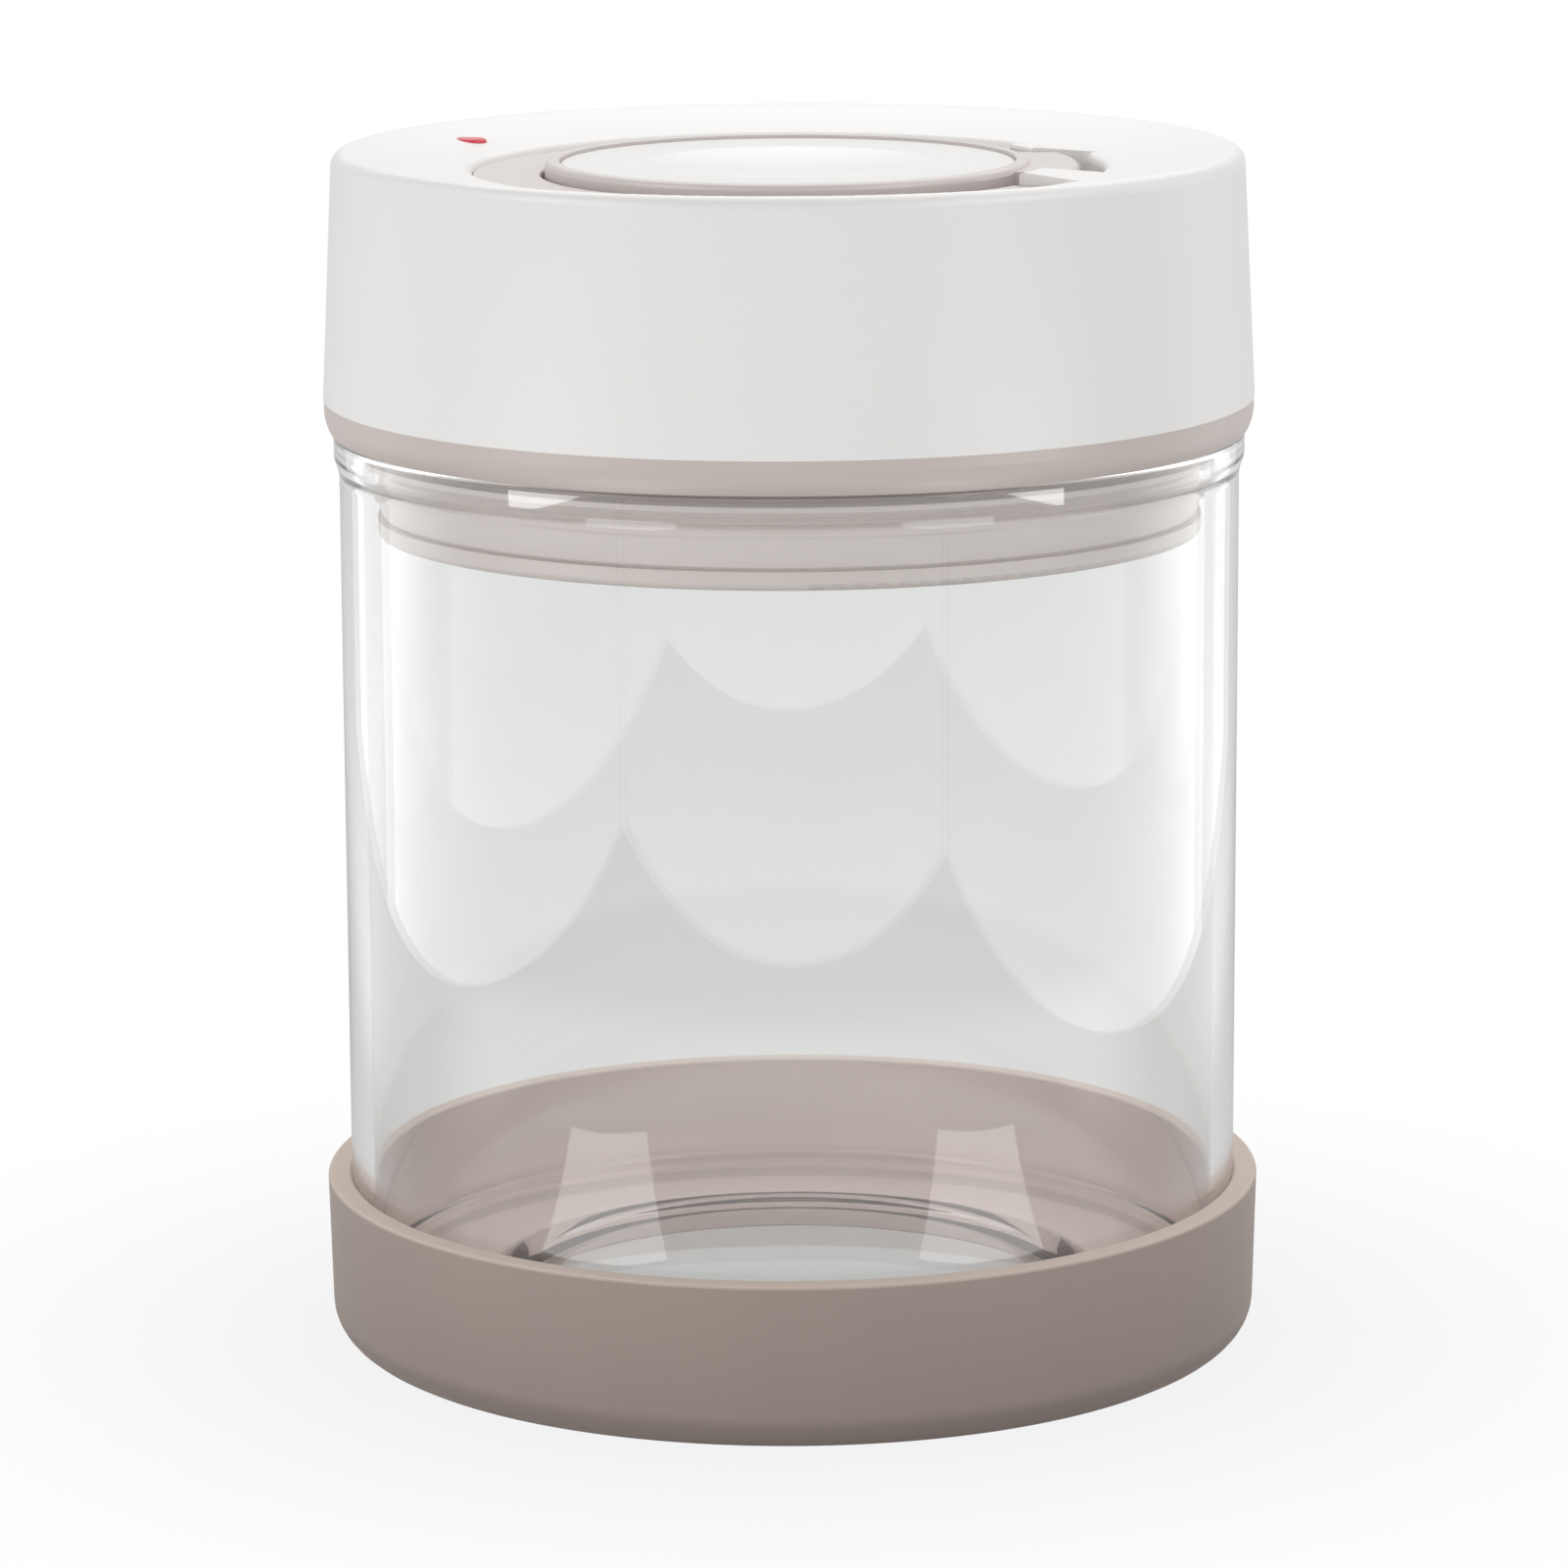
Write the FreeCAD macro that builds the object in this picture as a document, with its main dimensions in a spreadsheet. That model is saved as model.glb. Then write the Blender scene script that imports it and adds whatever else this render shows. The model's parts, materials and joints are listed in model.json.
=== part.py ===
import FreeCAD, Part
import math
import os
import re

import Sketcher

# Vacuum seal canister: a glass jar in a silicone boot, closed by a lid with a hand pump.
# Millimetres, +Z up, origin at the centre of the boot's underside, paddle hinge towards +X.

SIZES = {
    # Glass jar
    "glass_radius": 60.0,
    "glass_wall": 3.0,
    "glass_height": 121.0,
    "glass_base": 5.5,
    "glass_foot_round": 4.0,
    "glass_inner_round": 1.5,
    "kick_inset": 26.0,
    "kick_height": 1.2,
    "kick_slope": 6.0,
    "lip_bead": 0.7,
    "lip_bead_height": 3.4,
    "lip_bead_slope": 1.8,
    "lip_round": 1.3,
    # Silicone boot
    "boot_floor": 3.0,
    "boot_wall": 3.1,
    "boot_draft": 0.6,
    "boot_height": 22.6,
    "boot_clearance": 0.1,
    "boot_ledge": 22.0,
    "boot_foot_round": 5.0,
    "boot_round_gap": 0.5,
    "boot_rim_round": 0.9,
    # Lid base: the visible ring and the plug below it
    "ring_height": 4.5,
    "ring_overhang": 1.9,
    "ring_tuck": 0.9,
    "ring_curve_height": 3.0,
    "ring_curve_radius": 6.0,
    "ring_web": 2.0,
    "spigot_height": 4.0,
    "spigot_wall": 1.8,
    "spigot_clearance": 0.4,
    "plug_depth": 13.0,
    "plug_gap": 2.0,
    "plug_flange_height": 2.5,
    "plug_flange_round": 1.0,
    "plug_wall": 1.6,
    "plug_floor": 2.5,
    # Seals of the lid
    "rim_gasket_inset": 0.3,
    "rim_gasket_height": 1.5,
    "seal_seat_depth": 2.0,
    "seal_top_gap": 1.5,
    "seal_band_gap": 1.6,
    "seal_band_curve": 9.0,
    "seal_groove": 0.5,
    "seal_lip_gap": 0.3,
    "seal_lip_height": 1.2,
    "seal_neck": 1.0,
    # Lid cap
    "cap_height": 32.6,
    "cap_step": 0.1,
    "cap_draft": 1.6,
    "cap_wall": 2.6,
    "cap_floor": 2.4,
    "cap_top_round": 1.8,
    "crest_width": 2.8,
    "crest_round": 5.0,
    "dish_drop": 2.35,
    "dish_radius": 90.0,
    "dish_width": 15.6,
    "recess_draft": 0.5,
    "recess_depth": 3.4,
    "recess_edge_round": 1.3,
    "cap_opening_gap": 3.1,
    # Deck on the recess's floor, raised round the paddle
    "deck_thickness": 1.0,
    "deck_rise": 2.5,
    "deck_well_gap": 0.5,
    "deck_well_shift": 0.7,
    "deck_well_round": 0.4,
    "deck_gap": 0.15,
    "deck_notch_gap": 0.4,
    "deck_edge_round": 0.2,
    # Hinge of the paddle
    "hinge_inset": 4.0,
    "hinge_drop": 4.4,
    "hinge_pin_radius": 1.5,
    "hinge_cheek": 5.0,
    "hinge_cheek_back": 4.1,
    "hinge_cheek_round": 2.6,
    "running_fit": 0.05,
    "channel_half_width": 12.7,
    "lug_gap": 2.8,
    "lug_width": 5.3,
    "lug_rise": 0.85,
    "lug_run": 4.0,
    "lug_round": 0.6,
    # Paddle
    "finger_groove": 9.3,
    "paddle_lift": 0.5,
    "paddle_floor": 1.15,
    "paddle_rim_width": 1.9,
    "paddle_rim_height": 2.6,
    "paddle_rim_round": 0.9,
    "paddle_foot_round": 0.9,
    "arm_side_gap": 0.3,
    "arm_end_gap": 2.85,
    "arm_end_round": 0.8,
    "arm_thickness": 3.15,
    "knuckle_radius": 3.2,
    "knuckle_half_width": 9.0,
    "knuckle_gap": 0.5,
    "ear_gap": 0.3,
    "ear_thickness": 2.6,
    "ear_half_width": 4.2,
    "inlay_gap": 0.1,
    "inlay_height": 2.2,
    "inlay_round": 0.4,
    "finger_dish_inset": 11.3,
    "finger_dish_depth": 1.2,
    # Piston and rod
    "cross_pin_radius": 1.5,
    "cross_pin_drop": 5.5,
    "slot_play": 0.2,
    "slot_travel_in": 0.6,
    "slot_travel_out": 1.3,
    "rod_radius": 4.0,
    "rod_head_half_width": 4.5,
    "rod_head_half_length": 6.0,
    "rod_head_above": 4.4,
    "rod_head_below": 4.2,
    "rod_head_round": 1.2,
    "rod_socket_depth": 2.0,
    "piston_clearance": 0.4,
    "piston_lift": 2.1,
    "piston_height": 6.0,
    "piston_edge_round": 0.5,
    "cup_seat_depth": 3.0,
    "cup_seat_lift": 1.4,
    "cup_seat_height": 2.8,
    "cup_clearance": 0.3,
    "cup_base_height": 1.2,
    "cup_lip_wall": 0.7,
    # Pump cylinder
    "bore_radius": 14.0,
    "cylinder_wall": 2.0,
    "rod_head_gap": 1.25,
    "foot_flange_width": 4.0,
    "foot_flange_height": 2.0,
    "mount_reach": 8.5,
    "mount_start_angle": 90.0,
    "mount_boss_radius": 3.0,
    "mount_boss_height": 7.5,
    "mount_ear_height": 2.5,
    "o_ring_inset": 2.0,
    "o_ring_section": 0.7,
    "guide_flange_height": 2.0,
    "guide_spigot_height": 1.4,
    "guide_vent_radius": 1.0,
    # Inlet valve and its screen
    "valve_disc_radius": 6.2,
    "valve_disc_height": 0.9,
    "valve_stem_radius": 1.2,
    "valve_bulb_radius": 1.9,
    "valve_bulb_height": 1.1,
    "inlet_hole_radius": 1.0,
    "inlet_circle_radius": 3.9,
    "screen_radius": 9.0,
    "screen_height": 2.6,
    "screen_wall": 1.0,
    "screen_hole_radius": 0.9,
    "screen_circle_radius": 5.0,
    "screen_round": 0.8,
    # Screws and their wells
    "post_inset": 6.9,
    "post_start_angle": 45.0,
    "post_wall": 1.2,
    "post_height": 21.5,
    "post_shoulder": 4.0,
    "well_gap": 0.4,
    "screw_radius": 1.5,
    "screw_hole_gap": 0.2,
    "screw_length": 14.0,
    "screw_head_radius": 2.8,
    "screw_head_height": 2.0,
    "screw_recess_radius": 1.2,
    "screw_recess_depth": 0.9,
    "boss_wall": 2.1,
    "screw_plug_height": 4.0,
    "small_screw_radius": 1.0,
    "small_screw_length": 8.0,
    "small_screw_head_radius": 2.1,
    "small_screw_head_height": 1.5,
    "small_screw_recess_radius": 0.9,
    # Release pin, its spring and its poppet
    "release_inset": 7.8,
    "release_angle": 149.6,
    "release_button_radius": 2.0,
    "release_button_height": 5.5,
    "release_button_rise": 0.3,
    "release_button_round": 0.5,
    "release_stem_radius": 1.2,
    "release_hole_gap": 0.4,
    "release_tower_radius": 3.0,
    "release_tower_height": 16.0,
    "release_collar_radius": 2.9,
    "release_collar_height": 1.0,
    "release_collar_drop": 9.5,
    "release_valve_radius": 3.6,
    "release_valve_height": 1.6,
    "release_valve_round": 0.5,
    "spring_wire_radius": 0.25,
    "spring_coil_radius": 2.2,
    "cut_overrun": 1.0,
    # Share of a wall that a rib or a boss sinks into it
    "half_share": 0.5,
}

# Sizes that follow from others, so that neighbouring pieces keep together
FOLLOWS = {
    "kick_radius": "glass_radius - kick_inset",
    "boot_rim_radius": "glass_radius + boot_clearance + boot_wall",
    "boot_foot_radius": "boot_rim_radius - boot_draft",
    "boot_opening_radius": "glass_radius - boot_ledge",
    "boot_inner_round": "glass_foot_round - boot_round_gap",
    "ring_radius": "glass_radius + ring_overhang",
    "ring_foot_radius": "ring_radius - ring_tuck",
    "plug_flange_radius": "glass_radius - glass_wall - plug_gap",
    "rim_gasket_inner_radius": "glass_radius - glass_wall + rim_gasket_inset",
    "rim_gasket_outer_radius": "glass_radius",
    "seal_seat_radius": "plug_flange_radius - seal_seat_depth",
    "seal_seat_height": "plug_depth - plug_flange_height - seal_top_gap",
    "seal_band_radius": "glass_radius - glass_wall - seal_band_gap",
    "seal_band_height": "seal_seat_height - seal_groove * 2 - seal_lip_height - seal_neck",
    "cap_foot_radius": "ring_radius + cap_step",
    "cap_top_radius": "cap_foot_radius - cap_draft",
    "recess_radius": "cap_top_radius - crest_width - dish_width - recess_draft",
    "cap_opening_radius": "rod_head_half_width + ear_gap + ear_thickness + cap_opening_gap",
    "hinge_reach": "recess_radius - hinge_inset",
    "paddle_radius": "recess_radius - finger_groove",
    "lug_inner_radius": "paddle_radius + lug_gap",
    "lug_outer_radius": "recess_radius + recess_draft + lug_run",
    "lug_near_angle": "asin(channel_half_width / (recess_radius + recess_draft))",
    "lug_far_angle": "asin((channel_half_width + lug_width) / lug_inner_radius)",
    "arm_end_radius": "recess_radius - arm_end_gap",
    "finger_dish_radius": "paddle_radius - paddle_rim_width - finger_dish_inset",
    "deck_radius": "recess_radius - deck_gap",
    "deck_draft": "recess_draft * (deck_thickness + deck_rise) / (deck_thickness + recess_depth)",
    "deck_top_radius": "deck_radius + deck_draft",
    "deck_well_radius": "paddle_radius + deck_well_gap + deck_well_shift",
    "deck_notch_half_angle": "asin((channel_half_width + lug_width + deck_notch_gap) / lug_inner_radius)",
    "cup_seat_radius": "bore_radius - cup_seat_depth",
    "cylinder_radius": "bore_radius + cylinder_wall",
    "foot_flange_radius": "cylinder_radius + foot_flange_width",
    "mount_circle_radius": "cylinder_radius + mount_reach",
    "o_ring_radius": "cylinder_radius + o_ring_inset",
    "guide_vent_circle": "(rod_radius + bore_radius) * half_share",
    "post_circle_radius": "seal_seat_radius - plug_wall - post_inset",
    "well_radius": "screw_head_radius + well_gap",
    "post_radius": "well_radius + post_wall",
    "boss_radius": "screw_radius + boss_wall",
    "release_circle_radius": "recess_radius + recess_draft + release_inset",
}

# Counts and whole turns
LID_SCREW_COUNT = 4
CYLINDER_SCREW_COUNT = 3
INLET_HOLE_COUNT = 5
SCREEN_HOLE_COUNT = 8
GUIDE_VENT_COUNT = 4
FULL_TURN = 360.0
HALF_LEFT = "half turn left"
HALF_RIGHT = "half turn right"
SAME_PLACE = 1e-3

# Heights and radii worked out from the sheet's values
GLASS_TOP = "(boot_floor + glass_height)"
GLASS_FLOOR = "(boot_floor + glass_base)"
GLASS_BORE = "(glass_radius - glass_wall)"
SEAM = f"({GLASS_TOP} + ring_height)"
PLUG_BOTTOM = f"({GLASS_TOP} - plug_depth)"
PLUG_FLOOR = f"({PLUG_BOTTOM} + plug_floor)"
PLUG_FLANGE_TOP = f"({PLUG_BOTTOM} + plug_flange_height)"
SEAL_TOP = f"({PLUG_FLANGE_TOP} + seal_seat_height)"
WEB_TOP = f"({GLASS_TOP} + rim_gasket_height + ring_web)"
SPIGOT_RADIUS = "(cap_foot_radius - cap_wall - spigot_clearance)"
CREST = f"({SEAM} + cap_height)"
RECESS_EDGE = f"({CREST} - dish_drop)"
RECESS_FLOOR = f"({RECESS_EDGE} - recess_depth)"
RECESS_UNDERSIDE = f"({RECESS_FLOOR} - cap_floor)"
DECK_SEAT = f"({RECESS_FLOOR} - deck_thickness)"
DECK_TOP = f"({RECESS_FLOOR} + deck_rise)"
LUG_TOP = f"({RECESS_EDGE} + lug_rise)"
HINGE_HEIGHT = f"({RECESS_FLOOR} - hinge_drop)"
PADDLE_UNDERSIDE = f"({RECESS_FLOOR} + paddle_lift)"
INLAY_SEAT = f"({PADDLE_UNDERSIDE} + paddle_floor)"
INLAY_TOP = f"({INLAY_SEAT} + inlay_height)"
PIT_HALF_WIDTH = "(knuckle_half_width + arm_side_gap)"
CHEEK_SIDE = f"({PIT_HALF_WIDTH} + hinge_cheek)"
CROSS_PIN_HEIGHT = f"({HINGE_HEIGHT} - cross_pin_drop)"
ROD_HEAD_BOTTOM = f"({CROSS_PIN_HEIGHT} - rod_head_below)"
EAR_INNER = "(rod_head_half_width + ear_gap)"
EAR_OUTER = f"({EAR_INNER} + ear_thickness)"
PISTON_BOTTOM = f"({PLUG_FLOOR} + piston_lift)"
PISTON_TOP = f"({PISTON_BOTTOM} + piston_height)"
ROD_FOOT = f"({PISTON_TOP} - rod_socket_depth)"
CUP_BOTTOM = f"({PISTON_BOTTOM} + cup_seat_lift)"
CYLINDER_TOP = f"({ROD_HEAD_BOTTOM} - rod_head_gap - guide_flange_height)"
MOUNT_TOP = f"({PLUG_FLOOR} + mount_boss_height)"
MOUNT_EAR_TOP = f"({MOUNT_TOP} + mount_ear_height)"
POST_TOP = f"({PLUG_FLOOR} + post_height)"
SHOULDER = f"({POST_TOP} - post_shoulder)"
RELEASE_X = "(release_circle_radius * cos(release_angle))"
RELEASE_Y = "(release_circle_radius * sin(release_angle))"
CREST_INNER = "(cap_top_radius - crest_width)"
EDGE_RADIUS = "(recess_radius + recess_draft)"
TOWER_TOP = f"({PLUG_FLOOR} + release_tower_height)"


def dish_height(radius):
    """The height of the cap's dished top at a radius: an arc from the crest down to the recess."""
    run = f"({CREST_INNER} - {EDGE_RADIUS})"
    chord = f"sqrt({run} * {run} + dish_drop * dish_drop)"
    depth = f"sqrt(dish_radius * dish_radius - {chord} * {chord} / 4)"
    centre_radius = f"(({CREST_INNER} + {EDGE_RADIUS}) / 2 - dish_drop / {chord} * {depth})"
    centre_height = f"({CREST} - dish_drop / 2 + {run} / {chord} * {depth})"
    offset = f"({radius} - {centre_radius})"
    return f"({centre_height} - sqrt(dish_radius * dish_radius - {offset} * {offset}))"


BUTTON_TOP = f"({dish_height('release_circle_radius')} + release_button_rise)"
COLLAR_TOP = f"({BUTTON_TOP} - release_collar_drop)"

doc = FreeCAD.newDocument("vacuum_canister")
sheet = doc.addObject("Spreadsheet::Sheet", "sizes")
for row, (alias, number) in enumerate(SIZES.items(), start=1):
    sheet.set(f"A{row}", alias)
    sheet.set(f"B{row}", str(number))
    sheet.setAlias(f"B{row}", alias)
doc.recompute()

NAME = re.compile(r"[a-z][a-z_]*")
NODES = []


def bound(text):
    """An expression in the named sizes, in the form that any object of the document can hold."""
    def spelled(match):
        name = match[0]
        if name in FOLLOWS:
            return f"({bound(FOLLOWS[name])})"
        return f"sizes.{name}" if name in SIZES else name
    return NAME.sub(spelled, text)


def value(text):
    """The number that such an expression gives now."""
    return float(sheet.evalExpression(bound(text)))


def new_body(label):
    body = doc.addObject("PartDesign::Body", label)
    body.Label = label
    NODES.append(body)
    return body


def origin_feature(body, role):
    return next(item for item in body.Origin.OriginFeatures if item.Role == role)


def new_sketch(body, name, role, height=None):
    """An empty sketch on one of the body's own planes, raised along the plane's normal."""
    sketch = body.newObject("Sketcher::SketchObject", f"{body.Name}_{name}")
    sketch.AttachmentSupport = [(origin_feature(body, role), "")]
    sketch.MapMode = "FlatFace"
    if height:
        sketch.setExpression("AttachmentOffset.Base.z", bound(height))
    return sketch


def arc_between(start, end, bend):
    """An arc that bulges to one side of the way from start to end, and the order of its ends."""
    chord = end - start
    if bend in (HALF_LEFT, HALF_RIGHT):
        radius = chord.Length / 2
        to_right = bend == HALF_RIGHT
    else:
        radius = value(bend.lstrip("-"))
        to_right = bend.startswith("-")
    left = FreeCAD.Vector(-chord.y, chord.x, 0).normalize()
    depth = math.sqrt(max(radius ** 2 - (chord.Length / 2) ** 2, 0))
    centre = (start + end) / 2 + left * (depth if to_right else -depth)
    first, last = (start, end) if to_right else (end, start)
    angles = [math.atan2(point.y - centre.y, point.x - centre.x) for point in (first, last)]
    arc = Part.ArcOfCircle(Part.Circle(centre, FreeCAD.Vector(0, 0, 1), radius), *angles)
    return arc, (1, 2) if to_right else (2, 1)


def tie_coordinate(sketch, links, geometry, point, kind, text):
    """Ties one coordinate of a sketch's point to an expression, or puts the point on the axis."""
    if text == "0":
        axis = -2 if kind == "DistanceX" else -1
        sketch.addConstraint(Sketcher.Constraint("PointOnObject", geometry, point, axis))
        return
    index = sketch.addConstraint(Sketcher.Constraint(kind, -1, 1, geometry, point, value(text)))
    links.append((index, text))


def place_point(sketch, links, geometry, point, across, up):
    tie_coordinate(sketch, links, geometry, point, "DistanceX", across)
    tie_coordinate(sketch, links, geometry, point, "DistanceY", up)


def bind(sketch, links):
    for index, text in links:
        sketch.setExpression(f"Constraints[{index}]", bound(text))


def outline(body, name, role, points, height=None):
    """A closed sketch through (across, up) points.

    A third entry makes the side to the next point an arc: a radius, with a minus to bulge to the right
    of the way, or a half turn, whose chord is level or upright.
    """
    sketch = new_sketch(body, name, role, height)
    corners = [FreeCAD.Vector(value(point[0]), value(point[1]), 0) for point in points]
    count = len(points)
    links = []
    ends = []
    for index, point in enumerate(points):
        start = corners[index]
        end = corners[(index + 1) % count]
        if len(point) < 3:
            sketch.addGeometry(Part.LineSegment(start, end))
            ends.append((1, 2))
            continue
        arc, order = arc_between(start, end, point[2])
        sketch.addGeometry(arc)
        ends.append(order)
        if point[2] not in (HALF_LEFT, HALF_RIGHT):
            radius = point[2].lstrip("-")
            links.append((sketch.addConstraint(Sketcher.Constraint("Radius", index, value(radius))), radius))
    for index in range(count):
        after = (index + 1) % count
        sketch.addConstraint(Sketcher.Constraint("Coincident", index, ends[index][1], after, ends[after][0]))
    for index, point in enumerate(points):
        place_point(sketch, links, index, ends[index][0], point[0], point[1])
        if len(point) > 2 and point[2] in (HALF_LEFT, HALF_RIGHT):
            chord = corners[(index + 1) % count] - corners[index]
            level = abs(chord.x) > abs(chord.y)
            kind, text = ("DistanceY", point[1]) if level else ("DistanceX", point[0])
            tie_coordinate(sketch, links, index, 3, kind, text)
    bind(sketch, links)
    return sketch


def circles(body, name, role, places, height=None):
    """A sketch of circles, each (across, up, radius)."""
    sketch = new_sketch(body, name, role, height)
    links = []
    for across, up, radius in places:
        centre = FreeCAD.Vector(value(across), value(up), 0)
        index = sketch.addGeometry(Part.Circle(centre, FreeCAD.Vector(0, 0, 1), value(radius)))
        at = sketch.addConstraint(Sketcher.Constraint("Radius", index, value(radius)))
        links.append((at, radius))
        place_point(sketch, links, index, 3, across, up)
    bind(sketch, links)
    return sketch


def feature(body, kind, name, sketch):
    item = body.newObject(f"PartDesign::{kind}", f"{body.Name}_{name}")
    item.Profile = sketch
    sketch.Visibility = False
    return item


def revolve(body, name, points):
    """A turned solid from a half profile of (radius, height) points."""
    sketch = outline(body, f"{name}_profile", "XZ_Plane", points)
    item = feature(body, "Revolution", name, sketch)
    item.ReferenceAxis = (sketch, ["V_Axis"])
    item.Angle = FULL_TURN
    doc.recompute()
    return item


def revolve_part(body, name, points, middle, span):
    """A turned solid that fills a span of angle, whose middle lies at an angle from the X axis."""
    sketch = outline(body, f"{name}_profile", "XZ_Plane", points)
    upright = FreeCAD.Rotation(FreeCAD.Vector(0, 1, 0), value(middle))
    sketch.AttachmentOffset = FreeCAD.Placement(FreeCAD.Vector(), upright)
    sketch.setExpression("AttachmentOffset.Rotation.Angle", bound(middle))
    item = feature(body, "Revolution", name, sketch)
    item.ReferenceAxis = (sketch, ["V_Axis"])
    item.Midplane = True
    item.setExpression("Angle", bound(span))
    doc.recompute()
    return item


def pad(body, name, sketch, length, symmetric=False):
    item = feature(body, "Pad", name, sketch)
    item.SideType = "Symmetric" if symmetric else "One side"
    item.setExpression("Length", bound(length))
    doc.recompute()
    return item


def pocket(body, name, sketch, length, symmetric=False, upward=False):
    """A cut below the sketch, or above it if upward; it has to take material away."""
    before = body.Shape.Volume
    item = feature(body, "Pocket", name, sketch)
    item.SideType = "Symmetric" if symmetric else "One side"
    item.Reversed = upward
    item.setExpression("Length", bound(length))
    doc.recompute()
    if body.Shape.Volume >= before:
        raise ValueError(f"{item.Name} cuts nothing")
    return item


def polar(body, name, originals, count):
    """Copies of the features, evenly round the Z axis."""
    item = body.newObject("PartDesign::PolarPattern", f"{body.Name}_{name}")
    item.Originals = originals
    item.Axis = (origin_feature(body, "Z_Axis"), [""])
    item.Angle = FULL_TURN
    item.Occurrences = count
    body.Tip = item
    doc.recompute()
    return item


def ring_edges(shape, radius, height):
    """Names of the circles and arcs about the Z axis with a radius at a height."""
    found = []
    for index, edge in enumerate(shape.Edges, start=1):
        ends = [vertex.Point for vertex in edge.Vertexes]
        if not edge.Degenerated and isinstance(edge.Curve, Part.Circle) and all(
                math.isclose(math.hypot(end.x, end.y), radius, abs_tol=SAME_PLACE)
                and math.isclose(end.z, height, abs_tol=SAME_PLACE) for end in ends):
            found.append(f"Edge{index}")
    return found


def round_rings(body, name, radius, rings):
    """Rounds the circles or arcs given as (radius, height) expressions."""
    base = body.Tip
    names = []
    for ring_radius, height in rings:
        edges = ring_edges(base.Shape, value(ring_radius), value(height))
        if not edges:
            raise ValueError(f"{body.Name} has no edge for {name}")
        names.extend(edges)
    return round_edges(body, name, radius, names)


def round_edges(body, name, radius, names):
    base = body.Tip
    item = body.newObject("PartDesign::Fillet", f"{body.Name}_{name}")
    item.Base = (base, names)
    item.setExpression("Radius", bound(radius))
    doc.recompute()
    return item


def sector(body, name, inner, outer, half_angle, height):
    """A sketch of the piece of a ring that lies within an angle of the X axis."""
    low_x, low_y = polar_place(inner, half_angle)
    high_x, high_y = polar_place(outer, half_angle)
    return outline(body, name, "XY_Plane", [
        (low_x, f"-{low_y}"),
        (high_x, f"-{high_y}", f"-{outer}"),
        (high_x, high_y),
        (low_x, low_y, inner),
    ], height)


def polar_place(radius, angle):
    """Expressions for a place on a circle about the Z axis."""
    return f"({radius} * cos({angle}))", f"({radius} * sin({angle}))"


def build_glass_jar():
    """The clear jar: a thick base with a push-up, a straight wall and a beaded lip."""
    body = new_body("glass_jar")
    bead = "(glass_radius + lip_bead)"
    bead_foot = f"({GLASS_TOP} - lip_bead_height)"
    revolve(body, "wall", [
        ("0", "boot_floor + kick_height"),
        ("kick_radius", "boot_floor + kick_height"),
        ("kick_radius + kick_slope", "boot_floor"),
        ("glass_radius", "boot_floor"),
        ("glass_radius", f"{bead_foot} - lip_bead_slope"),
        (bead, bead_foot),
        (bead, GLASS_TOP),
        (GLASS_BORE, GLASS_TOP),
        (GLASS_BORE, GLASS_FLOOR),
        ("0", GLASS_FLOOR),
    ])
    round_rings(body, "foot", "glass_foot_round", [("glass_radius", "boot_floor")])
    round_rings(body, "inside", "glass_inner_round", [(GLASS_BORE, GLASS_FLOOR)])
    round_rings(body, "lip", "lip_round", [(bead, GLASS_TOP), (GLASS_BORE, GLASS_TOP)])


def build_silicone_boot():
    """The soft cup under the jar, open in the middle of its floor."""
    body = new_body("silicone_boot")
    inner = "(glass_radius + boot_clearance)"
    revolve(body, "cup", [
        ("boot_opening_radius", "0"),
        ("boot_foot_radius", "0"),
        ("boot_rim_radius", "boot_height"),
        (inner, "boot_height"),
        (inner, "boot_floor"),
        ("boot_opening_radius", "boot_floor"),
    ])
    round_rings(body, "foot", "boot_foot_round", [("boot_foot_radius", "0")])
    round_rings(body, "corner", "boot_inner_round", [(inner, "boot_floor")])
    round_rings(body, "rim", "boot_rim_round", [("boot_rim_radius", "boot_height"), (inner, "boot_height")])


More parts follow.
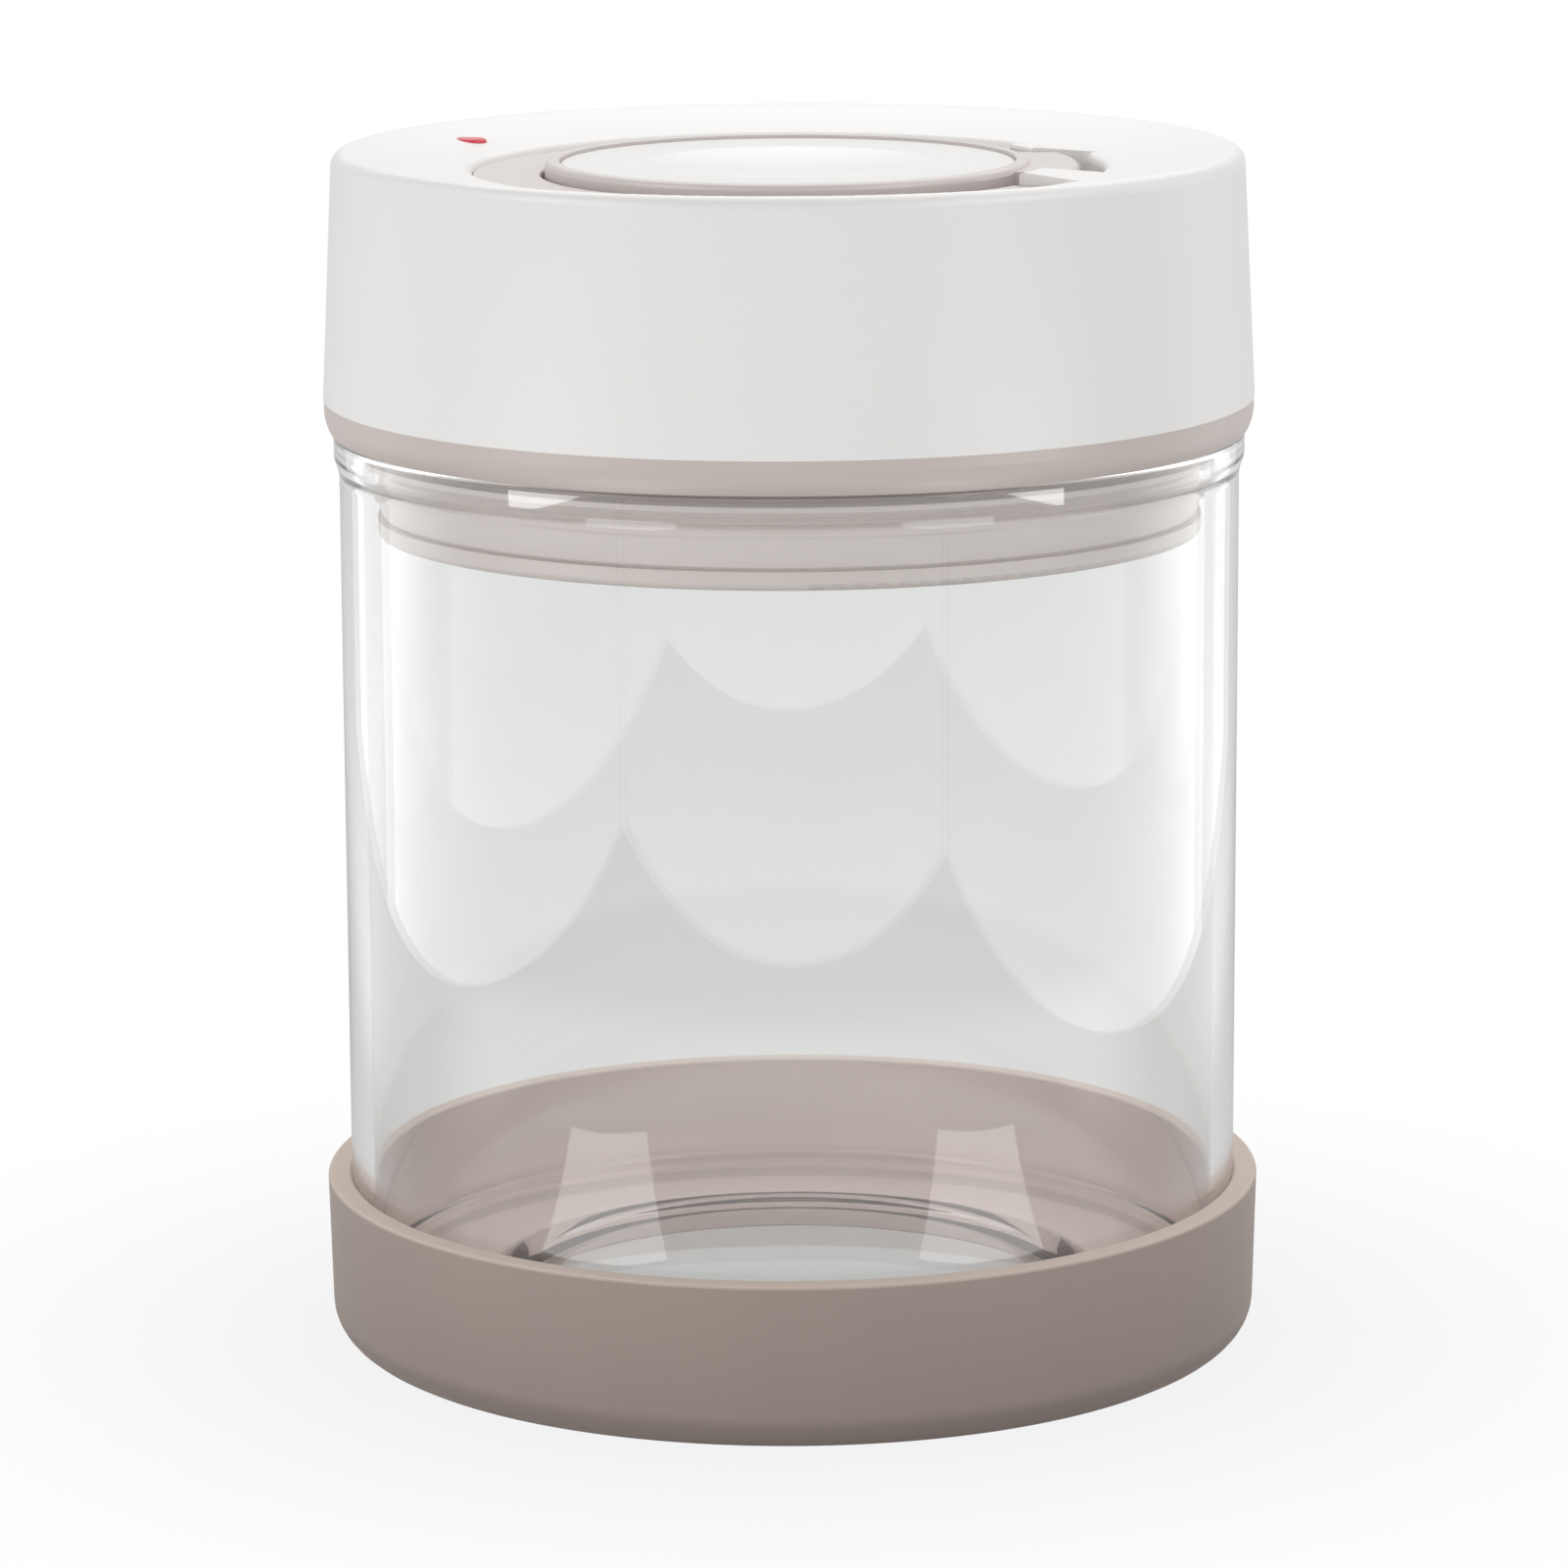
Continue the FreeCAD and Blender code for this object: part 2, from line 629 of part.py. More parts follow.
def build_lid_base():
    """The taupe ring on the jar's lip and the hollow plug below it, with the pump's seats and screw posts."""
    body = new_body("lid_base")
    gasket_top = f"({GLASS_TOP} + rim_gasket_height)"
    spigot_bore = f"({SPIGOT_RADIUS} - spigot_wall)"
    plug_bore = "(seal_seat_radius - plug_wall)"
    revolve(body, "ring", [
        ("0", PLUG_BOTTOM),
        ("plug_flange_radius", PLUG_BOTTOM),
        ("plug_flange_radius", PLUG_FLANGE_TOP),
        ("seal_seat_radius", PLUG_FLANGE_TOP),
        ("seal_seat_radius", SEAL_TOP),
        ("plug_flange_radius", SEAL_TOP),
        ("plug_flange_radius", GLASS_TOP),
        ("rim_gasket_inner_radius", GLASS_TOP),
        ("rim_gasket_inner_radius", gasket_top),
        ("rim_gasket_outer_radius", gasket_top),
        ("rim_gasket_outer_radius", GLASS_TOP),
        ("ring_foot_radius", GLASS_TOP, "-ring_curve_radius"),
        ("ring_radius", f"{GLASS_TOP} + ring_curve_height"),
        ("ring_radius", SEAM),
        (SPIGOT_RADIUS, SEAM),
        (SPIGOT_RADIUS, f"{SEAM} + spigot_height"),
        (spigot_bore, f"{SEAM} + spigot_height"),
        (spigot_bore, WEB_TOP),
        (plug_bore, WEB_TOP),
        (plug_bore, PLUG_FLOOR),
        ("0", PLUG_FLOOR),
    ])
    round_rings(body, "flange", "plug_flange_round", [("plug_flange_radius", PLUG_BOTTOM)])

    post_x, post_y = polar_place("post_circle_radius", "post_start_angle")
    post = pad(body, "post", circles(body, "post_circle", "XY_Plane", [(post_x, post_y, "post_radius")],
                                     PLUG_BOTTOM), f"{POST_TOP} - {PLUG_BOTTOM}")
    well = pocket(body, "well", circles(body, "well_circle", "XY_Plane", [(post_x, post_y, "well_radius")],
                                        PLUG_BOTTOM), f"{SHOULDER} - {PLUG_BOTTOM}", upward=True)
    screw_circle = circles(body, "screw_circle", "XY_Plane",
                           [(post_x, post_y, "screw_radius + screw_hole_gap")], POST_TOP)
    hole = pocket(body, "screw_hole", screw_circle, "post_shoulder")
    polar(body, "posts", [post, well, hole], LID_SCREW_COUNT)

    boss = pad(body, "boss", circles(body, "boss_circle", "XY_Plane",
                                     [("0", "mount_circle_radius", "mount_boss_radius")], PLUG_BOTTOM),
               f"{MOUNT_TOP} - {PLUG_BOTTOM}")
    pilot = pocket(body, "pilot", circles(body, "pilot_circle", "XY_Plane",
                                          [("0", "mount_circle_radius", "small_screw_radius")], MOUNT_TOP),
                   "small_screw_length - mount_ear_height")
    polar(body, "bosses", [boss, pilot], CYLINDER_SCREW_COUNT)

    inlet = pocket(body, "inlet", circles(body, "inlet_circle", "XY_Plane",
                                          [("inlet_circle_radius", "0", "inlet_hole_radius")], PLUG_FLOOR),
                   "plug_floor")
    polar(body, "inlets", [inlet], INLET_HOLE_COUNT)
    pocket(body, "valve_hole", circles(body, "valve_circle", "XY_Plane", [("0", "0", "valve_stem_radius")],
                                       PLUG_FLOOR), "plug_floor")
    groove = circles(body, "o_ring_circle", "XY_Plane", [
        ("0", "0", "o_ring_radius - o_ring_section"),
        ("0", "0", "o_ring_radius + o_ring_section"),
    ], PLUG_FLOOR)
    pocket(body, "o_ring_groove", groove, "o_ring_section * 2")

    tower = circles(body, "tower_circle", "XY_Plane",
                    [(RELEASE_X, RELEASE_Y, "release_tower_radius")], PLUG_BOTTOM)
    pad(body, "tower", tower, f"{TOWER_TOP} - {PLUG_BOTTOM}")
    vent = circles(body, "vent_circle", "XY_Plane",
                   [(RELEASE_X, RELEASE_Y, "release_stem_radius + release_hole_gap")], TOWER_TOP)
    pocket(body, "vent", vent, f"{TOWER_TOP} - {PLUG_BOTTOM}")


def build_lid_cap():
    """The white shell: a dished top round a recess, two hinge lugs, and bosses for the screws inside."""
    body = new_body("lid_cap")
    revolve(body, "shell", [
        ("cap_foot_radius", SEAM),
        ("cap_top_radius", CREST),
        (CREST_INNER, CREST, "dish_radius"),
        (EDGE_RADIUS, RECESS_EDGE),
        ("recess_radius", DECK_SEAT),
        ("cap_opening_radius", DECK_SEAT),
        ("cap_opening_radius", RECESS_UNDERSIDE),
        ("recess_radius + cap_floor", RECESS_UNDERSIDE),
        (f"{EDGE_RADIUS} + cap_floor", f"{RECESS_EDGE} - cap_floor"),
        (CREST_INNER, f"{CREST} - cap_wall"),
        ("cap_foot_radius - cap_wall", SEAM),
    ])
    round_rings(body, "shoulder", "cap_top_round", [("cap_top_radius", CREST)])
    round_rings(body, "crest", "crest_round", [(CREST_INNER, CREST)])
    round_rings(body, "recess_edge", "recess_edge_round", [(EDGE_RADIUS, RECESS_EDGE)])

    lug_profile = [
        ("lug_inner_radius", DECK_SEAT),
        ("recess_radius + cap_floor * half_share", DECK_SEAT),
        ("lug_outer_radius", RECESS_EDGE),
        ("lug_inner_radius", LUG_TOP),
    ]
    middle = "((lug_near_angle + lug_far_angle) * half_share)"
    for name, angle in (("front_lug", f"-{middle}"), ("rear_lug", middle)):
        revolve_part(body, name, lug_profile, angle, "lug_far_angle - lug_near_angle")

    cheeks = outline(body, "cheek_side", "XZ_Plane", [
        ("hinge_reach - hinge_cheek_back", RECESS_UNDERSIDE),
        ("hinge_reach - hinge_cheek_round", HINGE_HEIGHT, HALF_RIGHT),
        ("hinge_reach + hinge_cheek_round", HINGE_HEIGHT),
        ("hinge_reach + hinge_cheek_back", RECESS_UNDERSIDE),
        ("hinge_reach + hinge_cheek_back", f"{RECESS_UNDERSIDE} + cap_floor * half_share"),
        ("hinge_reach - hinge_cheek_back", f"{RECESS_UNDERSIDE} + cap_floor * half_share"),
    ])
    pad(body, "cheeks", cheeks, f"{CHEEK_SIDE} * 2", symmetric=True)

    wall_x = "sqrt(recess_radius * recess_radius - channel_half_width * channel_half_width)"
    lug_foot = "sqrt(lug_inner_radius * lug_inner_radius - channel_half_width * channel_half_width)"
    lug_x = f"({lug_foot} - cut_overrun)"
    channel = outline(body, "channel_plan", "XY_Plane", [
        (lug_x, "-channel_half_width"),
        (wall_x, "-channel_half_width", "-recess_radius"),
        (wall_x, "channel_half_width"),
        (lug_x, "channel_half_width"),
    ], LUG_TOP)
    pocket(body, "channel", channel, "lug_rise + recess_depth + deck_thickness")
    pit = outline(body, "pit_plan", "XY_Plane", [
        ("hinge_reach - hinge_cheek_back", f"-{PIT_HALF_WIDTH}"),
        ("hinge_reach + knuckle_radius + knuckle_gap", f"-{PIT_HALF_WIDTH}"),
        ("hinge_reach + knuckle_radius + knuckle_gap", PIT_HALF_WIDTH),
        ("hinge_reach - hinge_cheek_back", PIT_HALF_WIDTH),
    ], DECK_SEAT)
    pocket(body, "pit", pit, "hinge_drop + hinge_cheek_round + cut_overrun")
    round_rings(body, "lug_edges", "lug_round", [("lug_inner_radius", LUG_TOP)])
    pocket(body, "pin_hole", circles(body, "pin_circle", "XZ_Plane",
                                     [("hinge_reach", HINGE_HEIGHT, "hinge_pin_radius")]),
           f"{CHEEK_SIDE} * 2 + cut_overrun", symmetric=True)

    post_x, post_y = polar_place("post_circle_radius", "post_start_angle")
    boss_circle = circles(body, "boss_circle", "XY_Plane", [(post_x, post_y, "boss_radius")], POST_TOP)
    boss = pad(body, "boss", boss_circle, f"{RECESS_UNDERSIDE} + cap_floor * half_share - {POST_TOP}")
    pilot_circle = circles(body, "pilot_circle", "XY_Plane", [(post_x, post_y, "screw_radius")], POST_TOP)
    pilot = pocket(body, "pilot", pilot_circle, "screw_length - post_shoulder", upward=True)
    polar(body, "bosses", [boss, pilot], LID_SCREW_COUNT)
    release_circle = circles(body, "release_circle", "XY_Plane",
                             [(RELEASE_X, RELEASE_Y, "release_button_radius + running_fit")], CREST)
    pocket(body, "release_hole", release_circle, "cap_height * half_share")


def build_lid_deck():
    """The taupe deck on the recess's floor: a well for the paddle, cut away round the lugs and the hinge."""
    body = new_body("lid_deck")
    revolve(body, "plate", [
        ("cap_opening_radius", DECK_SEAT),
        ("deck_radius", DECK_SEAT),
        ("deck_top_radius", DECK_TOP),
        ("cap_opening_radius", DECK_TOP),
    ])
    well = circles(body, "well_circle", "XY_Plane", [("deck_well_shift", "0", "deck_well_radius")], DECK_TOP)
    pocket(body, "well", well, "deck_rise")
    round_rings(body, "edges", "deck_edge_round",
                [("deck_top_radius", DECK_TOP), ("cap_opening_radius", RECESS_FLOOR)])
    well_edge = [f"Edge{index}" for index, edge in enumerate(body.Shape.Edges, start=1)
                 if isinstance(edge.Curve, Part.Circle)
                 and math.isclose(edge.Curve.Radius, value("deck_well_radius"), abs_tol=SAME_PLACE)
                 and math.isclose(edge.BoundBox.ZMin, value(DECK_TOP), abs_tol=SAME_PLACE)]
    round_edges(body, "well_edge", "deck_well_round", well_edge)
    notch = sector(body, "notch_sector", "(paddle_radius + deck_notch_gap)",
                   "(recess_radius + cut_overrun)", "deck_notch_half_angle", DECK_TOP)
    pocket(body, "notch", notch, "deck_rise + deck_thickness")


def build_seals():
    """The flat gasket on the jar's lip and the banded seal round the plug."""
    gasket = new_body("rim_gasket")
    revolve(gasket, "ring", [
        ("rim_gasket_inner_radius", GLASS_TOP),
        ("rim_gasket_outer_radius", GLASS_TOP),
        ("rim_gasket_outer_radius", f"{GLASS_TOP} + rim_gasket_height"),
        ("rim_gasket_inner_radius", f"{GLASS_TOP} + rim_gasket_height"),
    ])
    seal = new_body("plug_seal")
    band_foot = f"({PLUG_FLANGE_TOP} + seal_groove)"
    band_top = f"({band_foot} + seal_band_height)"
    neck_radius = "(seal_seat_radius + seal_neck)"
    lip_radius = f"({GLASS_BORE} - seal_lip_gap)"
    revolve(seal, "sleeve", [
        ("seal_seat_radius", PLUG_FLANGE_TOP),
        (neck_radius, PLUG_FLANGE_TOP),
        ("seal_band_radius - seal_neck", band_foot, "-seal_band_curve"),
        ("seal_band_radius - seal_neck", band_top),
        (neck_radius, f"{band_top} + seal_groove"),
        (lip_radius, f"{SEAL_TOP} - seal_lip_height"),
        (lip_radius, f"{SEAL_TOP} - seal_groove"),
        (neck_radius, SEAL_TOP),
        ("seal_seat_radius", SEAL_TOP),
    ])


def build_paddle():
    """The round lever: a taupe plate with a rim, an arm that turns on the hinge pin, and two ears below."""
    body = new_body("lever_plate")
    rim_inner = "(paddle_radius - paddle_rim_width)"
    rim_top = f"({INLAY_SEAT} + paddle_rim_height)"
    revolve(body, "plate", [
        ("0", PADDLE_UNDERSIDE),
        ("paddle_radius", PADDLE_UNDERSIDE),
        ("paddle_radius", rim_top),
        (rim_inner, rim_top),
        (rim_inner, INLAY_SEAT),
        ("0", INLAY_SEAT),
    ])
    round_rings(body, "rim", "paddle_rim_round", [("paddle_radius", rim_top)])
    round_rings(body, "foot", "paddle_foot_round", [("paddle_radius", PADDLE_UNDERSIDE)])

    half = "(channel_half_width - arm_side_gap)"
    end_x = f"sqrt(arm_end_radius * arm_end_radius - {half} * {half})"
    root_x = f"sqrt({rim_inner} * {rim_inner} - {half} * {half})"
    arm = outline(body, "arm_plan", "XY_Plane", [
        (root_x, f"-{half}"),
        (end_x, f"-{half}", "-arm_end_radius"),
        (end_x, half),
        (root_x, half, rim_inner),
    ], PADDLE_UNDERSIDE)
    pad(body, "arm", arm, "arm_thickness")
    round_rings(body, "arm_end", "arm_end_round",
                [("arm_end_radius", f"{PADDLE_UNDERSIDE} + arm_thickness")])
    web = outline(body, "web_side", "XZ_Plane", [
        ("hinge_reach - knuckle_radius", HINGE_HEIGHT, HALF_RIGHT),
        ("hinge_reach + knuckle_radius", HINGE_HEIGHT),
        ("hinge_reach", f"{PADDLE_UNDERSIDE} + paddle_floor"),
        ("hinge_reach - knuckle_radius", f"{PADDLE_UNDERSIDE} + paddle_floor"),
    ])
    pad(body, "web", web, "knuckle_half_width * 2", symmetric=True)
    pocket(body, "pin_bore", circles(body, "pin_circle", "XZ_Plane",
                                     [("hinge_reach", HINGE_HEIGHT, "hinge_pin_radius + running_fit")]),
           "knuckle_half_width * 2 + cut_overrun", symmetric=True)

    ears = outline(body, "ear_side", "XZ_Plane", [
        ("-ear_half_width", CROSS_PIN_HEIGHT, HALF_RIGHT),
        ("ear_half_width", CROSS_PIN_HEIGHT),
        ("ear_half_width", f"{PADDLE_UNDERSIDE} + paddle_floor * half_share"),
        ("-ear_half_width", f"{PADDLE_UNDERSIDE} + paddle_floor * half_share"),
    ])
    pad(body, "ears", ears, f"{EAR_OUTER} * 2", symmetric=True)
    gap = outline(body, "ear_gap", "XZ_Plane", [
        ("-ear_half_width - cut_overrun", f"{CROSS_PIN_HEIGHT} - ear_half_width - cut_overrun"),
        ("ear_half_width + cut_overrun", f"{CROSS_PIN_HEIGHT} - ear_half_width - cut_overrun"),
        ("ear_half_width + cut_overrun", PADDLE_UNDERSIDE),
        ("-ear_half_width - cut_overrun", PADDLE_UNDERSIDE),
    ])
    pocket(body, "ear_slot", gap, f"{EAR_INNER} * 2", symmetric=True)
    pocket(body, "cross_pin_hole", circles(body, "cross_pin_circle", "XZ_Plane",
                                           [("0", CROSS_PIN_HEIGHT, "cross_pin_radius")]),
           f"{EAR_OUTER} * 2 + cut_overrun", symmetric=True)

    inlay = new_body("lever_inlay")
    inlay_radius = f"({rim_inner} - inlay_gap)"
    dish_curve = "((finger_dish_radius * finger_dish_radius + finger_dish_depth * finger_dish_depth)" \
                 " / (finger_dish_depth * 2))"
    revolve(inlay, "disc", [
        ("0", INLAY_SEAT),
        (inlay_radius, INLAY_SEAT),
        (inlay_radius, INLAY_TOP),
        ("finger_dish_radius", INLAY_TOP, dish_curve),
        ("0", f"{INLAY_TOP} - finger_dish_depth"),
    ])
    round_rings(inlay, "edge", "inlay_round", [(inlay_radius, INLAY_TOP)])


def build_pins():
    """The hinge pin in the cap's cheeks and the cross pin in the paddle's ears."""
    hinge = new_body("hinge_pin")
    circle = circles(hinge, "circle", "XZ_Plane", [("hinge_reach", HINGE_HEIGHT, "hinge_pin_radius")])
    pad(hinge, "rod", circle, f"{CHEEK_SIDE} * 2", symmetric=True)
    cross = new_body("cross_pin")
    pad(cross, "rod", circles(cross, "circle", "XZ_Plane", [("0", CROSS_PIN_HEIGHT, "cross_pin_radius")]),
        f"{EAR_OUTER} * 2", symmetric=True)


def build_piston():
    """The rod with its slotted head, the piston, the cup seal in its groove and the screw that holds them."""
    rod = new_body("piston_rod")
    revolve(rod, "shank", [
        ("0", ROD_FOOT),
        ("rod_radius", ROD_FOOT),
        ("rod_radius", f"{ROD_HEAD_BOTTOM} + rod_head_round"),
        ("0", f"{ROD_HEAD_BOTTOM} + rod_head_round"),
    ])
    long_side = "rod_head_half_length"
    short_side = "rod_head_half_width"
    head = outline(rod, "head_plan", "XY_Plane", [
        (f"-{long_side}", f"-{short_side}"),
        (long_side, f"-{short_side}"),
        (long_side, short_side),
        (f"-{long_side}", short_side),
    ], ROD_HEAD_BOTTOM)
    pad(rod, "head", head, "rod_head_below + rod_head_above")
    corners = [f"Edge{index}" for index, edge in enumerate(rod.Shape.Edges, start=1)
               if edge.BoundBox.ZLength > value("rod_head_below")
               and abs(edge.CenterOfMass.x) > value("rod_head_half_length - rod_head_round")]
    round_edges(rod, "head_corners", "rod_head_round", corners)
    slot_half = "(cross_pin_radius + slot_play)"
    slot = outline(rod, "slot_side", "XZ_Plane", [
        ("-slot_travel_in", f"{CROSS_PIN_HEIGHT} - {slot_half}"),
        ("slot_travel_out", f"{CROSS_PIN_HEIGHT} - {slot_half}", HALF_RIGHT),
        ("slot_travel_out", f"{CROSS_PIN_HEIGHT} + {slot_half}"),
        ("-slot_travel_in", f"{CROSS_PIN_HEIGHT} + {slot_half}", HALF_RIGHT),
    ])
    pocket(rod, "slot", slot, f"{short_side} * 2 + cut_overrun", symmetric=True)
    pocket(rod, "pilot", circles(rod, "pilot_circle", "XY_Plane", [("0", "0", "screw_radius")], ROD_FOOT),
           f"screw_length - {ROD_FOOT} + {PISTON_BOTTOM} + screw_head_height", upward=True)

    head_radius = "(bore_radius - piston_clearance)"
    cup_top = f"({CUP_BOTTOM} + cup_seat_height)"
    well_top = f"({PISTON_BOTTOM} + screw_head_height)"
    piston = new_body("piston_head")
    revolve(piston, "body", [
        ("screw_head_radius + screw_hole_gap", PISTON_BOTTOM),
        (head_radius, PISTON_BOTTOM),
        (head_radius, CUP_BOTTOM),
        ("cup_seat_radius", CUP_BOTTOM),
        ("cup_seat_radius", cup_top),
        (head_radius, cup_top),
        (head_radius, PISTON_TOP),
        ("rod_radius", PISTON_TOP),
        ("rod_radius", ROD_FOOT),
        ("screw_radius", ROD_FOOT),
        ("screw_radius", well_top),
        ("screw_head_radius + screw_hole_gap", well_top),
    ])
    round_rings(piston, "edges", "piston_edge_round",
                [(head_radius, PISTON_BOTTOM), (head_radius, PISTON_TOP)])

    cup = new_body("piston_cup_seal")
    lip = "(bore_radius - cup_clearance)"
    revolve(cup, "lip", [
        ("cup_seat_radius", CUP_BOTTOM),
        (f"{head_radius} - cup_lip_wall", CUP_BOTTOM),
        (lip, cup_top),
        (f"{lip} - cup_lip_wall", cup_top),
        (f"{head_radius} - cup_lip_wall * 2", f"{CUP_BOTTOM} + cup_base_height"),
        ("cup_seat_radius", f"{CUP_BOTTOM} + cup_base_height"),
    ])

    screw = new_body("piston_screw")
    revolve(screw, "shank", screw_profile("screw", PISTON_BOTTOM, 1))


def screw_profile(kind, head_face, way):
    """A half profile of a pan head screw with a drive recess; way is 1 for a point up, -1 for one down."""
    sign = "+" if way > 0 else "-"
    under_head = f"{head_face} {sign} {kind}_head_height"
    return [
        ("0", f"{head_face} {sign} screw_recess_depth"),
        (f"{kind}_recess_radius", f"{head_face} {sign} screw_recess_depth"),
        (f"{kind}_recess_radius", head_face),
        (f"{kind}_head_radius", head_face),
        (f"{kind}_head_radius", under_head),
        (f"{kind}_radius", under_head),
        (f"{kind}_radius", f"{under_head} {sign} {kind}_length {'-' if way > 0 else '+'} {kind}_radius"),
        ("0", f"{under_head} {sign} {kind}_length"),
    ]


def build_pump_cylinder():
    """The tube with its foot flange and three screw ears, the O-ring below it and the rod guide on top."""
    body = new_body("pump_cylinder")
    revolve(body, "tube", [
        ("bore_radius", PLUG_FLOOR),
        ("foot_flange_radius", PLUG_FLOOR),
        ("foot_flange_radius", f"{PLUG_FLOOR} + foot_flange_height"),
        ("cylinder_radius", f"{PLUG_FLOOR} + foot_flange_height"),
        ("cylinder_radius", CYLINDER_TOP),
        ("bore_radius", CYLINDER_TOP),
    ])
    root = "(bore_radius + cylinder_wall * half_share)"
    ear = outline(body, "ear_plan", "XY_Plane", [
        ("-mount_boss_radius", root),
        ("mount_boss_radius", root),
        ("mount_boss_radius", "mount_circle_radius", HALF_RIGHT),
        ("-mount_boss_radius", "mount_circle_radius"),
    ], MOUNT_TOP)
    ear_pad = pad(body, "ear", ear, "mount_ear_height")
    ear_circle = circles(body, "ear_circle", "XY_Plane",
                         [("0", "mount_circle_radius", "small_screw_radius + screw_hole_gap")], MOUNT_EAR_TOP)
    hole = pocket(body, "ear_hole", ear_circle, "mount_ear_height")
    polar(body, "ears", [ear_pad, hole], CYLINDER_SCREW_COUNT)

    o_ring = new_body("cylinder_o_ring")
    section = circles(o_ring, "section", "XZ_Plane",
                      [("o_ring_radius", f"{PLUG_FLOOR} - o_ring_section", "o_ring_section")])
    item = feature(o_ring, "Revolution", "ring", section)
    item.ReferenceAxis = (section, ["V_Axis"])
    item.Angle = FULL_TURN
    doc.recompute()

    guide = new_body("rod_guide")
    revolve(guide, "bush", [
        ("rod_radius + running_fit", f"{CYLINDER_TOP} - guide_spigot_height"),
        ("bore_radius - running_fit", f"{CYLINDER_TOP} - guide_spigot_height"),
        ("bore_radius - running_fit", CYLINDER_TOP),
        ("cylinder_radius", CYLINDER_TOP),
        ("cylinder_radius", f"{CYLINDER_TOP} + guide_flange_height"),
        ("rod_radius + running_fit", f"{CYLINDER_TOP} + guide_flange_height"),
    ])
    vent = pocket(guide, "vent", circles(guide, "vent_circle", "XY_Plane",
                                         [("guide_vent_circle", "0", "guide_vent_radius")],
                                         f"{CYLINDER_TOP} + guide_flange_height"),
                  "guide_flange_height + guide_spigot_height")
    polar(guide, "vents", [vent], GUIDE_VENT_COUNT)


def build_inlet():
    """The umbrella valve over the inlet holes and the screen that keeps food out of them."""
    valve = new_body("inlet_valve")
    revolve(valve, "umbrella", [
        ("0", f"{PLUG_BOTTOM} - valve_bulb_height"),
        ("valve_stem_radius", f"{PLUG_BOTTOM} - valve_bulb_height"),
        ("valve_bulb_radius", PLUG_BOTTOM),
        ("valve_stem_radius", PLUG_BOTTOM),
        ("valve_stem_radius", PLUG_FLOOR),
        ("valve_disc_radius", PLUG_FLOOR),
        ("valve_disc_radius", f"{PLUG_FLOOR} + valve_disc_height * half_share"),
        ("valve_stem_radius", f"{PLUG_FLOOR} + valve_disc_height"),
        ("0", f"{PLUG_FLOOR} + valve_disc_height"),
    ])
    screen = new_body("inlet_screen")
    screen_foot = f"({PLUG_BOTTOM} - screen_height)"
    revolve(screen, "cup", [
        ("0", screen_foot),
        ("screen_radius", screen_foot),
        ("screen_radius", PLUG_BOTTOM),
        ("screen_radius - screen_wall", PLUG_BOTTOM),
        ("screen_radius - screen_wall", f"{screen_foot} + screen_wall"),
        ("0", f"{screen_foot} + screen_wall"),
    ])
    round_rings(screen, "edge", "screen_round", [("screen_radius", screen_foot)])
    hole = pocket(screen, "hole", circles(screen, "hole_circle", "XY_Plane",
                                          [("screen_circle_radius", "0", "screen_hole_radius")],
                                          f"{screen_foot} + screen_wall"), "screen_wall")
    polar(screen, "holes", [hole], SCREEN_HOLE_COUNT)


def build_release():
    """The red pin that lets air back in, with its collar, soft poppet and return spring."""
    pin = new_body("release_pin")
    valve_foot = f"({PLUG_BOTTOM} - release_valve_height)"
    button = circles(pin, "button_circle", "XY_Plane", [(RELEASE_X, RELEASE_Y, "release_button_radius")],
                     f"{BUTTON_TOP} - release_button_height")
    pad(pin, "button", button, "release_button_height")
    stem = circles(pin, "stem_circle", "XY_Plane",
                   [(RELEASE_X, RELEASE_Y, "release_stem_radius")], valve_foot)
    pad(pin, "stem", stem, f"{BUTTON_TOP} - release_button_height * half_share - {valve_foot}")
    collar = circles(pin, "collar_circle", "XY_Plane", [(RELEASE_X, RELEASE_Y, "release_collar_radius")],
                     f"{COLLAR_TOP} - release_collar_height")
    pad(pin, "collar", collar, "release_collar_height")
    top = [f"Edge{index}" for index, edge in enumerate(pin.Shape.Edges, start=1)
           if math.isclose(edge.BoundBox.ZMin, value(BUTTON_TOP), abs_tol=SAME_PLACE)]
    round_edges(pin, "button_edge", "release_button_round", top)

    valve = new_body("release_valve")
    disc = circles(valve, "disc_circle", "XY_Plane", [
        (RELEASE_X, RELEASE_Y, "release_valve_radius"),
        (RELEASE_X, RELEASE_Y, "release_stem_radius"),
    ], valve_foot)
    pad(valve, "disc", disc, "release_valve_height")
    rim = [f"Edge{index}" for index, edge in enumerate(valve.Shape.Edges, start=1)
           if math.isclose(edge.BoundBox.ZMax, value(valve_foot), abs_tol=SAME_PLACE)
           and edge.BoundBox.XLength > value("release_stem_radius + release_valve_radius")]
    round_edges(valve, "disc_edge", "release_valve_round", rim)


def build_spring():
    """The release pin's return spring between the tower and the collar, as a plain sleeve of its coils."""
    body = new_body("release_spring")
    foot = f"({TOWER_TOP})"
    ring = circles(body, "coil_circles", "XY_Plane",
                   [(RELEASE_X, RELEASE_Y, "spring_coil_radius + spring_wire_radius"),
                    (RELEASE_X, RELEASE_Y, "spring_coil_radius - spring_wire_radius")], foot)
    pad(body, "sleeve", ring, f"{COLLAR_TOP} - release_collar_height - {foot}")


